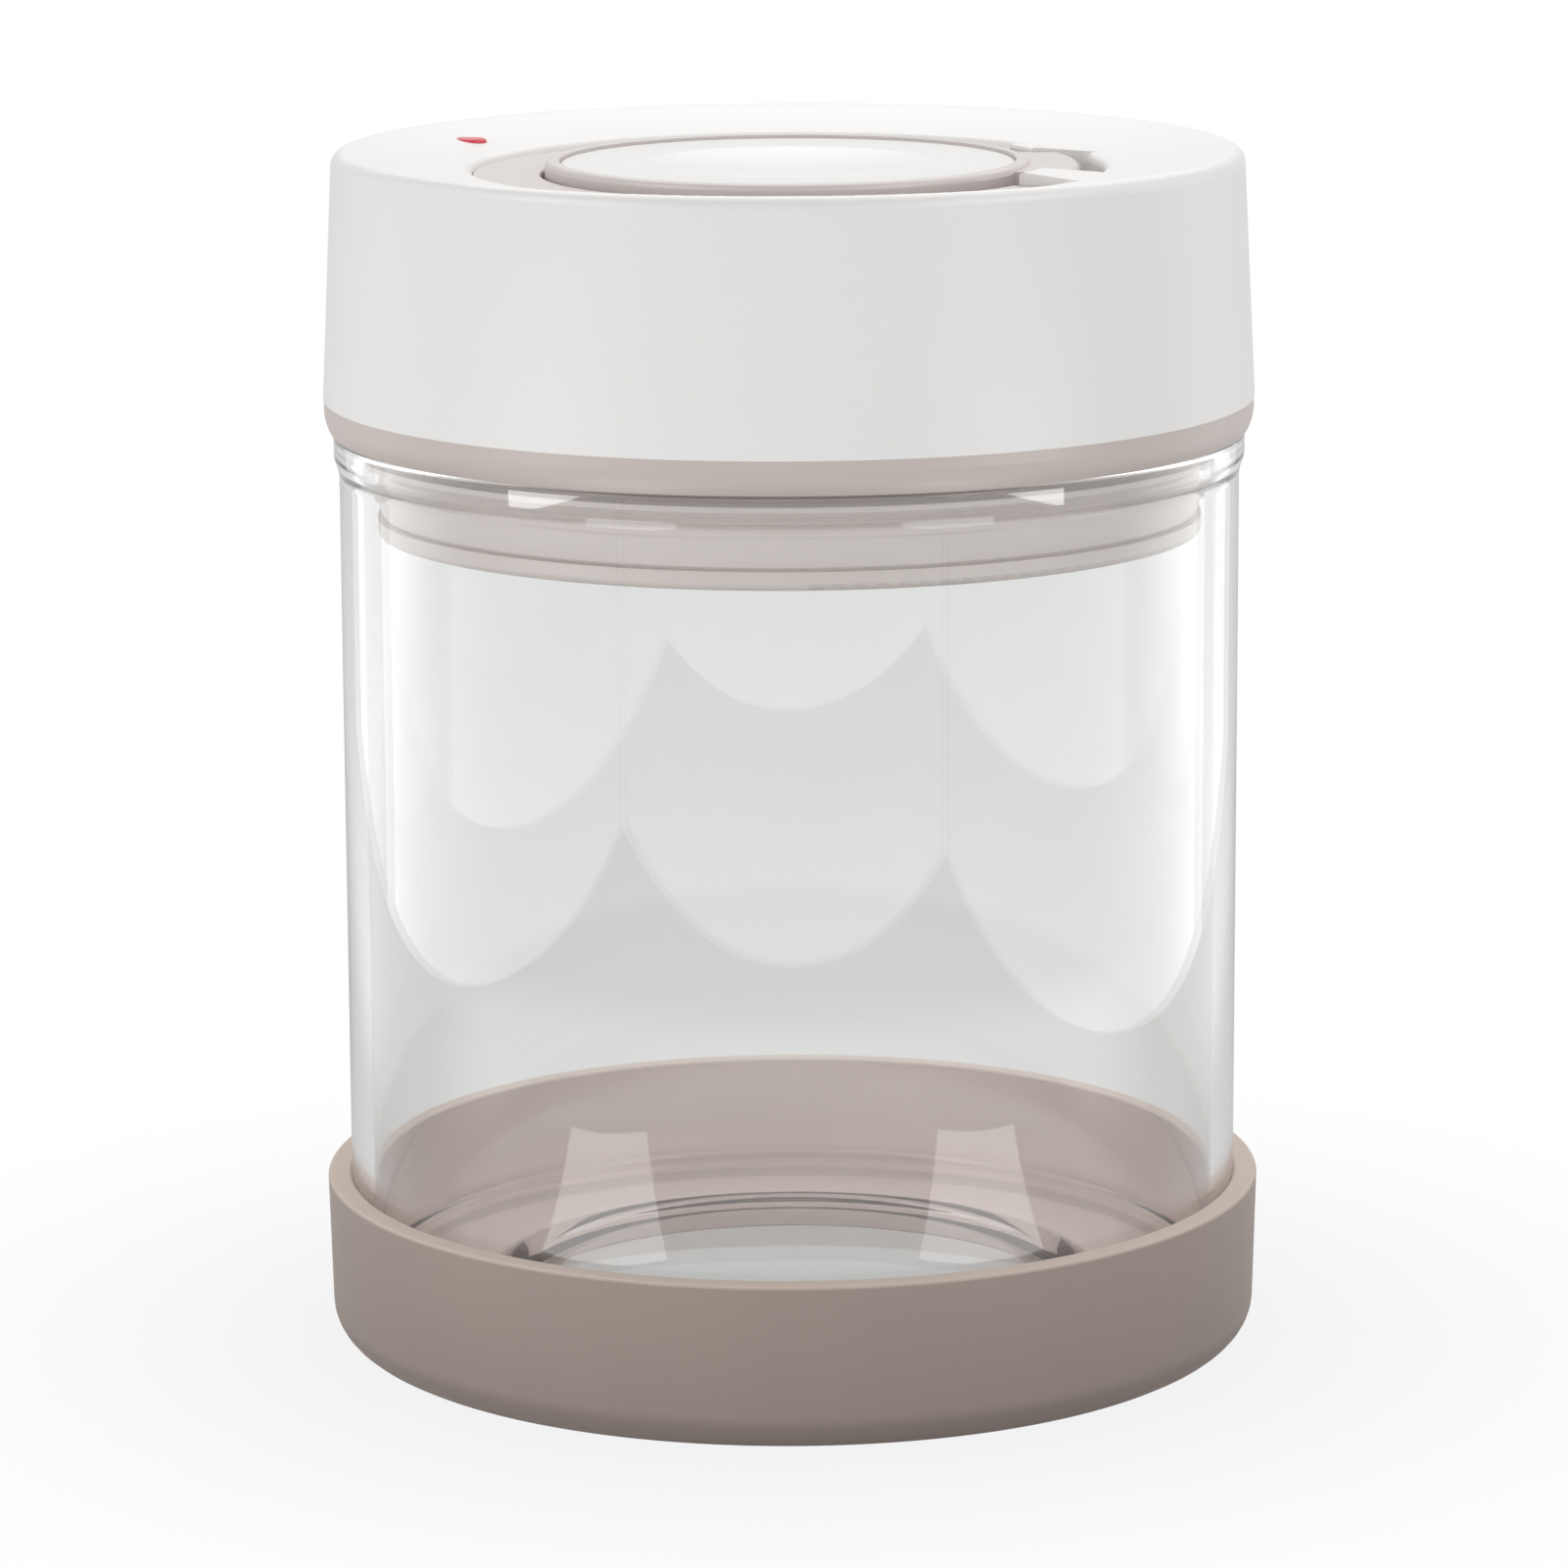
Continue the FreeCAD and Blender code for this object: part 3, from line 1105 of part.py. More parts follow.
def build_group(label, points, circle, angle, count):
    """Separate turned pieces, evenly round the Z axis, from one half profile about their own axis."""
    body = new_body(label)
    body.AllowCompound = True
    moved = [(f"{circle} + {radius}" if radius != "0" else circle, height) for radius, height in points]
    sketch = outline(body, "profile", "XZ_Plane", moved)
    item = feature(body, "Revolution", "piece", sketch)
    item.ReferenceAxis = (sketch, [f"Edge{len(points)}"])
    item.Angle = FULL_TURN
    doc.recompute()
    polar(body, "group", [item], count)
    body.setExpression("Placement.Rotation.Angle", bound(angle))
    doc.recompute()


def build_fasteners():
    """The lid screws in their wells, the plugs that close the wells, and the cylinder's screws."""
    build_group("lid_screws", screw_profile("screw", f"{SHOULDER} - screw_head_height", 1),
                "post_circle_radius", "post_start_angle", LID_SCREW_COUNT)
    build_group("screw_plugs", [
        ("0", PLUG_BOTTOM),
        ("well_radius", PLUG_BOTTOM),
        ("well_radius", f"{PLUG_BOTTOM} + screw_plug_height"),
        ("0", f"{PLUG_BOTTOM} + screw_plug_height"),
    ], "post_circle_radius", "post_start_angle", LID_SCREW_COUNT)
    small_head_face = f"{MOUNT_EAR_TOP} + small_screw_head_height"
    build_group("cylinder_screws", screw_profile("small_screw", small_head_face, -1),
                "mount_circle_radius", "mount_start_angle", CYLINDER_SCREW_COUNT)


def check_document():
    """Stops unless every object is up to date and every piece is a valid solid."""
    doc.recompute()
    for item in doc.Objects:
        if "Invalid" in item.State or "Error" in item.State:
            raise ValueError(f"{item.Label} failed: {item.State}")
    for node in NODES:
        if node.Shape.isNull() or not node.Shape.isValid() or not node.Shape.Solids:
            raise ValueError(f"{node.Label} is not a valid solid")


def write_parts():
    os.makedirs("parts", exist_ok=True)
    for node in NODES:
        node.Shape.exportStep(f"parts/{node.Label}.step")


build_glass_jar()
build_silicone_boot()
build_lid_base()
build_lid_cap()
build_lid_deck()
build_seals()
build_paddle()
build_pins()
build_piston()
build_pump_cylinder()
build_inlet()
build_release()
build_spring()
build_fasteners()
check_document()
write_parts()
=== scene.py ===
import json
import math

import bmesh
import bpy
from mathutils import Euler, Matrix, Vector

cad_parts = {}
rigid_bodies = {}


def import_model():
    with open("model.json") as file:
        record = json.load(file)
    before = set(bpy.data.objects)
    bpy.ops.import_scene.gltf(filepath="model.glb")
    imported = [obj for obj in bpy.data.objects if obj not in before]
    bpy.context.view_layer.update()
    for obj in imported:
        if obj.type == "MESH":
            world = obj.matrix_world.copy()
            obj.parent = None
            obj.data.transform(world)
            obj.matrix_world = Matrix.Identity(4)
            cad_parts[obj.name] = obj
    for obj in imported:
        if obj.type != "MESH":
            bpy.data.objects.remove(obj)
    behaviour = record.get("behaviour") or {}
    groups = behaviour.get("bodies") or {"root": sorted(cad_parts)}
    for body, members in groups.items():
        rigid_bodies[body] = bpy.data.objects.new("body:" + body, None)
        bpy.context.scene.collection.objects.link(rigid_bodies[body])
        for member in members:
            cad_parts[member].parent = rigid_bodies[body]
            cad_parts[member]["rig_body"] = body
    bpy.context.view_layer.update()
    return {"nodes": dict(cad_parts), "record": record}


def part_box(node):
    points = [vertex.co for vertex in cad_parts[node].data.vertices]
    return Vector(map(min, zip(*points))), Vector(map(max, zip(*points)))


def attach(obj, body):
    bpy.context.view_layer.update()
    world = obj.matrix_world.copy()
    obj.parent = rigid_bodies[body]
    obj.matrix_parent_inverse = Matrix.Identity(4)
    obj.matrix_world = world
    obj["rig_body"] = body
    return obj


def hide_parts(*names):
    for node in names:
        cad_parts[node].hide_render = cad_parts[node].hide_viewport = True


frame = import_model()
nodes = frame["nodes"]
SLOTS = {part["node"]: part["material_slot"] for part in frame["record"]["subparts"]}

# Sizes and places are in millimetres, and MM makes them metres where they are used
MM = 0.001


# Sizes of the glass jar: its outside comes from the CAD node

glass_low, glass_high = [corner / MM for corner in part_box("glass_jar")]
GLASS_FOOT = glass_low.z
GLASS_TOP = glass_high.z
BEAD_RADIUS = glass_high.x
BEAD_PROUD = 0.7
BEAD_HEIGHT = 3.4
BEAD_FLARE = 1.8
BEAD_FULL = GLASS_TOP - BEAD_HEIGHT
BEAD_BEGINS = BEAD_FULL - BEAD_FLARE
GLASS_RADIUS = BEAD_RADIUS - BEAD_PROUD
GLASS_WALL = 3.0
GLASS_BORE = GLASS_RADIUS - GLASS_WALL
GLASS_BASE = 5.5
GLASS_FLOOR = GLASS_FOOT + GLASS_BASE
# The underside is pressed in a little, so the jar stands on a ring
HOLLOW_DEPTH = 1.2
HOLLOW_RADIUS = 34.0
STANDING_RADIUS = 40.0
HOLLOW_ROUND = 2.5
HEEL_ROUND = 4.0
BEAD_FLARE_ROUND = 0.8
BEAD_EDGE_ROUND = 0.4
LIP_OUTER_ROUND = 0.9
LIP_INNER_ROUND = 1.3
GLASS_FLOOR_ROUND = 1.5


# Sizes of the silicone boot: its heights come from the CAD node, and its radii follow the glass

boot_low, boot_high = [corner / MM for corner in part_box("silicone_boot")]
BOOT_FOOT = boot_low.z
BOOT_TOP = boot_high.z
BOOT_CLEARANCE = 0.1
BOOT_BORE = GLASS_RADIUS + BOOT_CLEARANCE
BOOT_WALL = 3.1
BOOT_RIM_RADIUS = BOOT_BORE + BOOT_WALL
BOOT_FLARE = 0.6
BOOT_FOOT_RADIUS = BOOT_RIM_RADIUS - BOOT_FLARE
BOOT_OPENING = 38.0
# The jar rests a hair above the boot's floor, so that the two faces don't flicker through each other
REST_GAP = 0.08
BOOT_FLOOR = GLASS_FOOT - REST_GAP
OPENING_ROUND = 0.5
BOOT_HEEL_ROUND = 5.0
RIM_OUTER_ROUND = 0.6
RIM_INNER_ROUND = 0.4
BOOT_FLOOR_ROUND = 3.5
# The inner face's painted light, a lighter shade, fades out over these radii, and the top edge's painted
# highlight comes in over these heights
PAINTED_INNER_LIGHT_RADII = (BOOT_BORE + 0.2, BOOT_BORE + 2.3)
PAINTED_RIM_HIGHLIGHT_HEIGHTS = (BOOT_TOP - 0.5, BOOT_TOP - 0.1)


# Turned pieces

TURN_STEPS = 224
ROUNDING_STEPS = 8
MERGE_DISTANCE = 0.001
SHARP_ANGLE = math.radians(35)


def turned_mesh(name, section, closed):
    """Turns a half section about the jar's axis. Each corner is (radius, height, reach of its rounding)."""
    form = bmesh.new()
    corners = [form.verts.new((radius * MM, 0, height * MM)) for radius, height, reach in section]
    followers = corners[1:] + corners[:1] if closed else corners[1:]
    for start, end in zip(corners, followers):
        form.edges.new((start, end))
    for corner, (radius, height, reach) in zip(corners, section):
        if reach:
            bmesh.ops.bevel(form, geom=[corner], offset=reach * MM, offset_type="OFFSET",
                            segments=ROUNDING_STEPS, profile=0.5, affect="VERTICES", material=-1)
    bmesh.ops.spin(form, geom=form.verts[:] + form.edges[:], cent=(0, 0, 0), axis=(0, 0, 1),
                   angle=math.tau, steps=TURN_STEPS, use_merge=True)
    bmesh.ops.remove_doubles(form, verts=form.verts, dist=MERGE_DISTANCE * MM)
    bmesh.ops.recalc_face_normals(form, faces=form.faces)
    mesh = bpy.data.meshes.new(name)
    form.to_mesh(mesh)
    form.free()
    mesh.shade_smooth()
    mesh.set_sharp_from_angle(angle=SHARP_ANGLE)
    return mesh


def stand_in(node, mesh, finish):
    """Shows a mesh in place of a CAD node, on the same body and with the finish that it is given."""
    piece = bpy.data.objects.new(mesh.name, mesh)
    bpy.context.scene.collection.objects.link(piece)
    mesh.materials.append(finish)
    piece.modifiers.new("even_shading", "WEIGHTED_NORMAL").keep_sharp = True
    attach(piece, nodes[node]["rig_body"])
    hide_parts(node)
    return piece


# Tools for the finishes

WHITE = (1, 1, 1, 1)


def linear(code):
    """An sRGB hex colour as linear red, green, blue and alpha."""
    parts = [int(code[digit:digit + 2], 16) / 255 for digit in (1, 3, 5)]
    return [part / 12.92 if part <= 0.04045 else ((part + 0.055) / 1.055) ** 2.4 for part in parts] + [1.0]


def add(tree, kind, inputs=None, **settings):
    """Adds a node. Each input is a plain value or the output socket of another node."""
    made = tree.nodes.new(kind)
    for name, value in settings.items():
        setattr(made, name, value)
    for name, value in (inputs or {}).items():
        if isinstance(value, bpy.types.NodeSocket):
            tree.links.new(value, made.inputs[name])
        else:
            made.inputs[name].default_value = value
    return made


def new_finish(name):
    """An empty material and its node tree."""
    material = bpy.data.materials.new(name)
    material.use_nodes = True
    material.node_tree.nodes.clear()
    return material, material.node_tree


def per_metre(size):
    """The texture scale at which a pattern's features are about this many millimetres wide."""
    return 1 / (size * MM)


def moulded(name, shades, clouds, grain, grain_depth, roughness, surface, painted_inner_light=None, painted_rim_highlight=None):
    """A moulded skin: two close shades in soft clouds, and the mould's grain in its relief and roughness.

    Mould grain is about 0.1 mm wide, too fine to show, so the grain sizes given here are drawn coarser.
    The inner light paints a lighter shade on a round piece's inner face as painted light, with the radii
    where it ends and has ended.
    The top-edge highlight paints a lighter shade on its upper edge as a painted highlight, with the heights
    where it begins and is full.
    """
    material, tree = new_finish(name)
    place = add(tree, "ShaderNodeTexCoord").outputs["Object"]
    cloud = add(tree, "ShaderNodeTexNoise", {"Vector": place, "Scale": per_metre(clouds), "Detail": 3.0})
    colour = add(tree, "ShaderNodeMix", {
        0: cloud.outputs["Fac"],
        6: linear(shades[0]),
        7: linear(shades[1]),
    }, data_type="RGBA")
    # Painted light: a lighter shade on the inner face, for the light and reflections it shows through the
    # glass
    if painted_inner_light:
        shade, ends, ended = painted_inner_light
        flat = add(tree, "ShaderNodeVectorMath", {0: place, 1: (1, 1, 0)}, operation="MULTIPLY")
        radius = add(tree, "ShaderNodeVectorMath", {0: flat.outputs[0]}, operation="LENGTH")
        painted_inner_light_mask = add(tree, "ShaderNodeMapRange", {
            "Value": radius.outputs["Value"],
            "From Min": ends * MM,
            "From Max": ended * MM,
            "To Min": 1.0,
            "To Max": 0.0,
        })
        colour = add(tree, "ShaderNodeMix", {
            0: painted_inner_light_mask.outputs["Result"],
            6: colour.outputs[2],
            7: linear(shade),
        }, data_type="RGBA")
    # Painted highlight: a lighter shade along the top edge, where light catches it
    if painted_rim_highlight:
        shade, begins, full = painted_rim_highlight
        height = add(tree, "ShaderNodeSeparateXYZ", {0: place})
        painted_rim_highlight_mask = add(tree, "ShaderNodeMapRange", {
            "Value": height.outputs["Z"],
            "From Min": begins * MM,
            "From Max": full * MM,
            "To Min": 0.0,
            "To Max": 1.0,
        })
        colour = add(tree, "ShaderNodeMix", {
            0: painted_rim_highlight_mask.outputs["Result"],
            6: colour.outputs[2],
            7: linear(shade),
        }, data_type="RGBA")
    pits = add(tree, "ShaderNodeTexNoise", {"Vector": place, "Scale": per_metre(grain), "Detail": 2.0})
    relief = add(tree, "ShaderNodeBump", {"Height": pits.outputs["Fac"], "Distance": grain_depth * MM})
    gloss = add(tree, "ShaderNodeMapRange", {
        "Value": pits.outputs["Fac"],
        "To Min": roughness[0],
        "To Max": roughness[1],
    })
    skin = add(tree, "ShaderNodeBsdfPrincipled", {
        "Base Color": colour.outputs[2],
        "Roughness": gloss.outputs["Result"],
        "Normal": relief.outputs["Normal"],
        **surface,
    })
    add(tree, "ShaderNodeOutputMaterial", {"Surface": skin.outputs["BSDF"]})
    return material


# Finishes

GLASS_IOR = 1.47
SILICONE_IOR = 1.41
ABS_IOR = 1.53
POLYPROPYLENE_IOR = 1.49
# Roughness from the smooth to the pitted spots of a skin
SATIN = (0.34, 0.42)
DULL_SHINE = (0.36, 0.46)


def borosilicate_glass():
    """Borosilicate glass, drawn as a tube and fire polished: colourless and clear, with crisp reflections
    that waver a little along the wall.
    """
    wave_width = 45
    wave_depth = 0.05
    material, tree = new_finish("borosilicate_glass")
    place = add(tree, "ShaderNodeTexCoord").outputs["Object"]
    waves = add(tree, "ShaderNodeTexNoise", {"Vector": place, "Scale": per_metre(wave_width), "Detail": 1.0})
    relief = add(tree, "ShaderNodeBump", {"Height": waves.outputs["Fac"], "Distance": wave_depth * MM})
    tint = add(tree, "ShaderNodeMix", {
        0: waves.outputs["Fac"],
        6: linear("#FBFCFB"),
        7: linear("#FEFEFE"),
    }, data_type="RGBA")
    glass = add(tree, "ShaderNodeBsdfPrincipled", {
        "Base Color": tint.outputs[2],
        "Roughness": 0.0,
        "IOR": GLASS_IOR,
        "Transmission Weight": 1.0,
        "Normal": relief.outputs["Normal"],
    })
    # Soft light passes straight through the wall to what stands behind it
    path = add(tree, "ShaderNodeLightPath")
    soft = add(tree, "ShaderNodeMath", {
        0: path.outputs["Is Shadow Ray"],
        1: path.outputs["Is Diffuse Ray"],
    }, operation="MAXIMUM")
    clear = add(tree, "ShaderNodeBsdfTransparent", {"Color": linear("#FCFCFC")})
    shown = add(tree, "ShaderNodeMixShader", {
        0: soft.outputs[0],
        1: glass.outputs["BSDF"],
        2: clear.outputs["BSDF"],
    })
    add(tree, "ShaderNodeOutputMaterial", {"Surface": shown.outputs["Shader"]})
    return material


def turned_steel():
    """Plain turned steel: a grey shine, broken up by tool marks that are drawn coarser than they are."""
    mark_width = 0.5
    material, tree = new_finish("turned_steel")
    place = add(tree, "ShaderNodeTexCoord").outputs["Object"]
    marks = add(tree, "ShaderNodeTexNoise", {"Vector": place, "Scale": per_metre(mark_width), "Detail": 3.0})
    gloss = add(tree, "ShaderNodeMapRange", {"Value": marks.outputs["Fac"], "To Min": 0.22, "To Max": 0.38})
    steel = add(tree, "ShaderNodeBsdfPrincipled", {
        "Base Color": linear("#C9C8C5"),
        "Metallic": 1.0,
        "Roughness": gloss.outputs["Result"],
    })
    add(tree, "ShaderNodeOutputMaterial", {"Surface": steel.outputs["BSDF"]})
    return material


def boot_silicone():
    """Silicone rubber from a blasted mould: matt, with broad soft light and a faint bloom at its edges.

    Its inner face is painted lighter, standing in for the light and reflections seen through the glass, and
    its top edge carries a painted highlight, as the photograph shows them.
    """
    # The inner face's lighter shade is painted light, and the top edge's lighter shade is a painted highlight
    return moulded("matt_silicone_rubber", shades=("#A4968E", "#AA9C93"), clouds=14, grain=0.9,
                   grain_depth=0.02, roughness=(0.55, 0.68),
                   surface={"IOR": SILICONE_IOR, "Sheen Weight": 0.12, "Sheen Roughness": 0.5},
                   painted_inner_light=("#E0CCC4", *PAINTED_INNER_LIGHT_RADII), painted_rim_highlight=("#D0C0B4", *PAINTED_RIM_HIGHLIGHT_HEIGHTS))


def satin_abs(name, shades, clouds):
    """ABS from a lightly blasted mould: even in shade, with soft-edged satin reflections."""
    return moulded(name, shades=shades, clouds=clouds, grain=0.7, grain_depth=0.008, roughness=SATIN,
                   surface={"IOR": ABS_IOR})


def disc_abs():
    """White ABS from a polished mould: brighter than the cap, with a finger dish that catches the light."""
    return moulded("polished_white_abs", shades=("#F5F4F2", "#F7F6F4"), clouds=26, grain=0.7,
                   grain_depth=0.002, roughness=(0.22, 0.28), surface={"IOR": ABS_IOR})


def seal_silicone():
    """Silicone rubber from a smooth mould: a dull shine along the seal's bands."""
    return moulded("seal_silicone_rubber", shades=("#C9BFBA", "#CDC3BE"), clouds=10, grain=0.8,
                   grain_depth=0.006, roughness=DULL_SHINE, surface={"IOR": SILICONE_IOR})


def natural_polypropylene():
    """Undyed polypropylene, injection moulded: a waxy off-white with a dull shine."""
    return moulded("natural_polypropylene", shades=("#E2E2DE", "#E6E6E2"), clouds=12, grain=0.8,
                   grain_depth=0.006, roughness=DULL_SHINE, surface={"IOR": POLYPROPYLENE_IOR})


def red_abs():
    """Red ABS from a smooth mould: a strong small dot of colour with a soft shine."""
    return moulded("red_gloss_abs", shades=("#D42A3E", "#D93046"), clouds=4, grain=0.6,
                   grain_depth=0.004, roughness=(0.3, 0.4), surface={"IOR": ABS_IOR})


FINISHES = {
    "clear_glass": borosilicate_glass(),
    "boot_silicone": boot_silicone(),
    "taupe_plastic": satin_abs("satin_taupe_abs", ("#CFC6C3", "#D2C9C6"), 22),
    "white_plastic": satin_abs("satin_white_abs", ("#EDEBE9", "#EFEDEB"), 26),
    "seal_silicone": seal_silicone(),
    "pump_plastic": natural_polypropylene(),
    "steel": turned_steel(),
    "red_plastic": red_abs(),
}
# The ring and plug get a darker copy of the taupe than the paddle and deck: painted shade, as they face down
# and get less light
OWN_FINISHES = {
    "lid_base": satin_abs("satin_taupe_abs_painted_shade", ("#C0B5AF", "#C4B9B3"), 22),
    "lever_inlay": disc_abs(),
}
for node, slot in SLOTS.items():
    for holder in nodes[node].material_slots:
        holder.material = OWN_FINISHES.get(node, FINISHES[slot])


# Glass jar

glass_section = [
    (0, GLASS_FOOT + HOLLOW_DEPTH, 0),
    (HOLLOW_RADIUS, GLASS_FOOT + HOLLOW_DEPTH, HOLLOW_ROUND),
    (STANDING_RADIUS, GLASS_FOOT, HOLLOW_ROUND),
    (GLASS_RADIUS, GLASS_FOOT, HEEL_ROUND),
    (GLASS_RADIUS, BEAD_BEGINS, BEAD_FLARE_ROUND),
    (BEAD_RADIUS, BEAD_FULL, BEAD_EDGE_ROUND),
    (BEAD_RADIUS, GLASS_TOP, LIP_OUTER_ROUND),
    (GLASS_BORE, GLASS_TOP, LIP_INNER_ROUND),
    (GLASS_BORE, GLASS_FLOOR, GLASS_FLOOR_ROUND),
    (0, GLASS_FLOOR, 0),
]
stand_in("glass_jar", turned_mesh("jar_glass", glass_section, closed=False), FINISHES["clear_glass"])


# Silicone boot

boot_section = [
    (BOOT_OPENING, BOOT_FOOT, OPENING_ROUND),
    (BOOT_FOOT_RADIUS, BOOT_FOOT, BOOT_HEEL_ROUND),
    (BOOT_RIM_RADIUS, BOOT_TOP, RIM_OUTER_ROUND),
    (BOOT_BORE, BOOT_TOP, RIM_INNER_ROUND),
    (BOOT_BORE, BOOT_FLOOR, BOOT_FLOOR_ROUND),
    (BOOT_OPENING, BOOT_FLOOR, OPENING_ROUND),
]
stand_in("silicone_boot", turned_mesh("boot", boot_section, closed=True), FINISHES["boot_silicone"])


# Stage: paper floor

FLOOR_REACH = 4000
# The floor's even glow in glass and gloss, and how much of it stands in for the lit paper there
FLOOR_GLOW = 0.82
GLOW_SHARE = 0.6
# How the paper changes with a spot's distance from the jar's axis (reach), to its side (across) or
# along the view (depth): where each change begins and ends, and its value at either end
FLOOR_CHANGES = {
    # Painted shadow: the paper's colour is dark near the jar and fades to its own shade clear of it
    "painted_shadow_fade": ("reach", 62, 130, 0.0, 1.0),
    # Painted light: a bright half ring in the glow in front of the jar, mirrored low in its wall
    "ring_outer": ("reach", 275, 310, 2.9, 0.0),
    "ring_inner": ("reach", 90, 220, 0.0, 1.0),
    "ring_front": ("depth", -70, 10, 1.0, 0.0),
    # Painted light: a brighter glow towards the camera, mirrored low in the wall too
    "open_front": ("depth", -300, -80, 0.80, 0.0),
    # Painted shade: the glow is dimmed under the jar
    "painted_shade_under_jar": ("reach", 55, 66, 0.66, 1.0),
    # Painted light: brighter wings in the glow behind the jar on both sides, which show in the edges of the
    # glass
    "wing_side": ("across", 130, 180, 0.0, 0.33),
    "wing_back": ("depth", 40, 140, 0.0, 1.0),
    # Painted shade: a slightly darker glow far behind
    "far_back": ("depth", 150, 380, 0.0, -0.10),
    # How white the camera sees the paper; what is left is the soft shadow of the lit paper, with the painted
    # shadow in its colour
    "whiter": ("reach", 60, 150, 0.88, 1.0),
}
# Painted shadow: the paper's colour near the jar
PAINTED_JAR_SHADOW = "#6E6D6C"
PAPER_SHADE = "#C4C4C3"


def floor_changes(tree):
    """The output socket of each of the floor's changes."""
    spot = add(tree, "ShaderNodeTexCoord").outputs["Object"]
    axes = add(tree, "ShaderNodeSeparateXYZ", {0: spot})
    measures = {
        "reach": add(tree, "ShaderNodeVectorMath", {0: spot}, operation="LENGTH").outputs["Value"],
        "across": add(tree, "ShaderNodeMath", {0: axes.outputs["X"]}, operation="ABSOLUTE").outputs[0],
        "depth": axes.outputs["Y"],
    }
    changes = {}
    for name, (measure, begins, ends, first, last) in FLOOR_CHANGES.items():
        change = add(tree, "ShaderNodeMapRange", {
            "Value": measures[measure],
            "From Min": begins * MM,
            "From Max": ends * MM,
            "To Min": first,
            "To Max": last,
        })
        changes[name] = change.outputs["Result"]
    return changes


def floor_glow(tree, changes, path):
    """The strength at which the paper shows in glass and gloss."""
    ring = add(tree, "ShaderNodeMath", {
        0: changes["ring_outer"],
        1: changes["ring_inner"],
    }, operation="MULTIPLY")
    half_ring = add(tree, "ShaderNodeMath", {
        0: ring.outputs[0],
        1: changes["ring_front"],
    }, operation="MULTIPLY")
    front = add(tree, "ShaderNodeMath", {0: half_ring.outputs[0], 1: changes["open_front"]}, operation="ADD")
    # The bright front shows as a mirror image alone, not through the glass from behind
    outside = add(tree, "ShaderNodeMath", {
        0: 1.0,
        1: path.outputs["Is Transmission Ray"],
    }, operation="SUBTRACT")
    mirror = add(tree, "ShaderNodeMath", {0: front.outputs[0], 1: outside.outputs[0]}, operation="MULTIPLY")
    even = add(tree, "ShaderNodeMath", {0: mirror.outputs[0], 1: FLOOR_GLOW}, operation="ADD")
    wings = add(tree, "ShaderNodeMath", {
        0: changes["wing_side"],
        1: changes["wing_back"],
    }, operation="MULTIPLY")
    back = add(tree, "ShaderNodeMath", {0: changes["far_back"], 1: wings.outputs[0]}, operation="ADD")
    whole = add(tree, "ShaderNodeMath", {0: even.outputs[0], 1: back.outputs[0]}, operation="ADD")
    return add(tree, "ShaderNodeMath", {0: whole.outputs[0], 1: changes["painted_shade_under_jar"]}, operation="MULTIPLY")


def pale_paper():
    """Matt white paper: plain white to the camera apart from a soft shadow round the boot, partly painted
    into the paper's colour, a pale glow with painted brighter and darker fields in glass and gloss, and plain
    diffuse with the painted shadow to every other ray.
    """
    material, tree = new_finish("pale_paper")
    path = add(tree, "ShaderNodeLightPath")
    changes = floor_changes(tree)
    # Painted shadow: the paper's colour darkens towards the jar
    shade = add(tree, "ShaderNodeMix", {
        0: changes["painted_shadow_fade"],
        6: linear(PAINTED_JAR_SHADOW),
        7: linear(PAPER_SHADE),
    }, data_type="RGBA")
    paper = add(tree, "ShaderNodeBsdfDiffuse", {"Color": shade.outputs[2]})
    glow = floor_glow(tree, changes, path)
    pale = add(tree, "ShaderNodeEmission", {"Color": WHITE, "Strength": glow.outputs[0]})
    white = add(tree, "ShaderNodeEmission", {"Color": WHITE, "Strength": 1.0})
    mirrored = add(tree, "ShaderNodeMath", {
        0: path.outputs["Is Glossy Ray"],
        1: path.outputs["Is Transmission Ray"],
    }, operation="MAXIMUM")
    in_glass = add(tree, "ShaderNodeMath", {0: mirrored.outputs[0], 1: GLOW_SHARE}, operation="MULTIPLY")
    in_view = add(tree, "ShaderNodeMath", {
        0: path.outputs["Is Camera Ray"],
        1: changes["whiter"],
    }, operation="MULTIPLY")
    unseen = add(tree, "ShaderNodeMixShader", {
        0: in_glass.outputs[0],
        1: paper.outputs[0],
        2: pale.outputs[0],
    })
    shown = add(tree, "ShaderNodeMixShader", {
        0: in_view.outputs[0],
        1: unseen.outputs[0],
        2: white.outputs[0],
    })
    add(tree, "ShaderNodeOutputMaterial", {"Surface": shown.outputs[0]})
    return material


def lay_floor():
    """A flat floor that reaches far to every side of the jar."""
    form = bmesh.new()
    bmesh.ops.create_grid(form, x_segments=1, y_segments=1, size=FLOOR_REACH * MM)
    mesh = bpy.data.meshes.new("floor")
    form.to_mesh(mesh)
    form.free()
    mesh.materials.append(pale_paper())
    floor = bpy.data.objects.new("floor", mesh)
    bpy.context.scene.collection.objects.link(floor)


# Stage: surround

FILL_STRENGTH = 0.35
PALE_STRENGTH = 0.72
WHITE_STRENGTH = 1.0


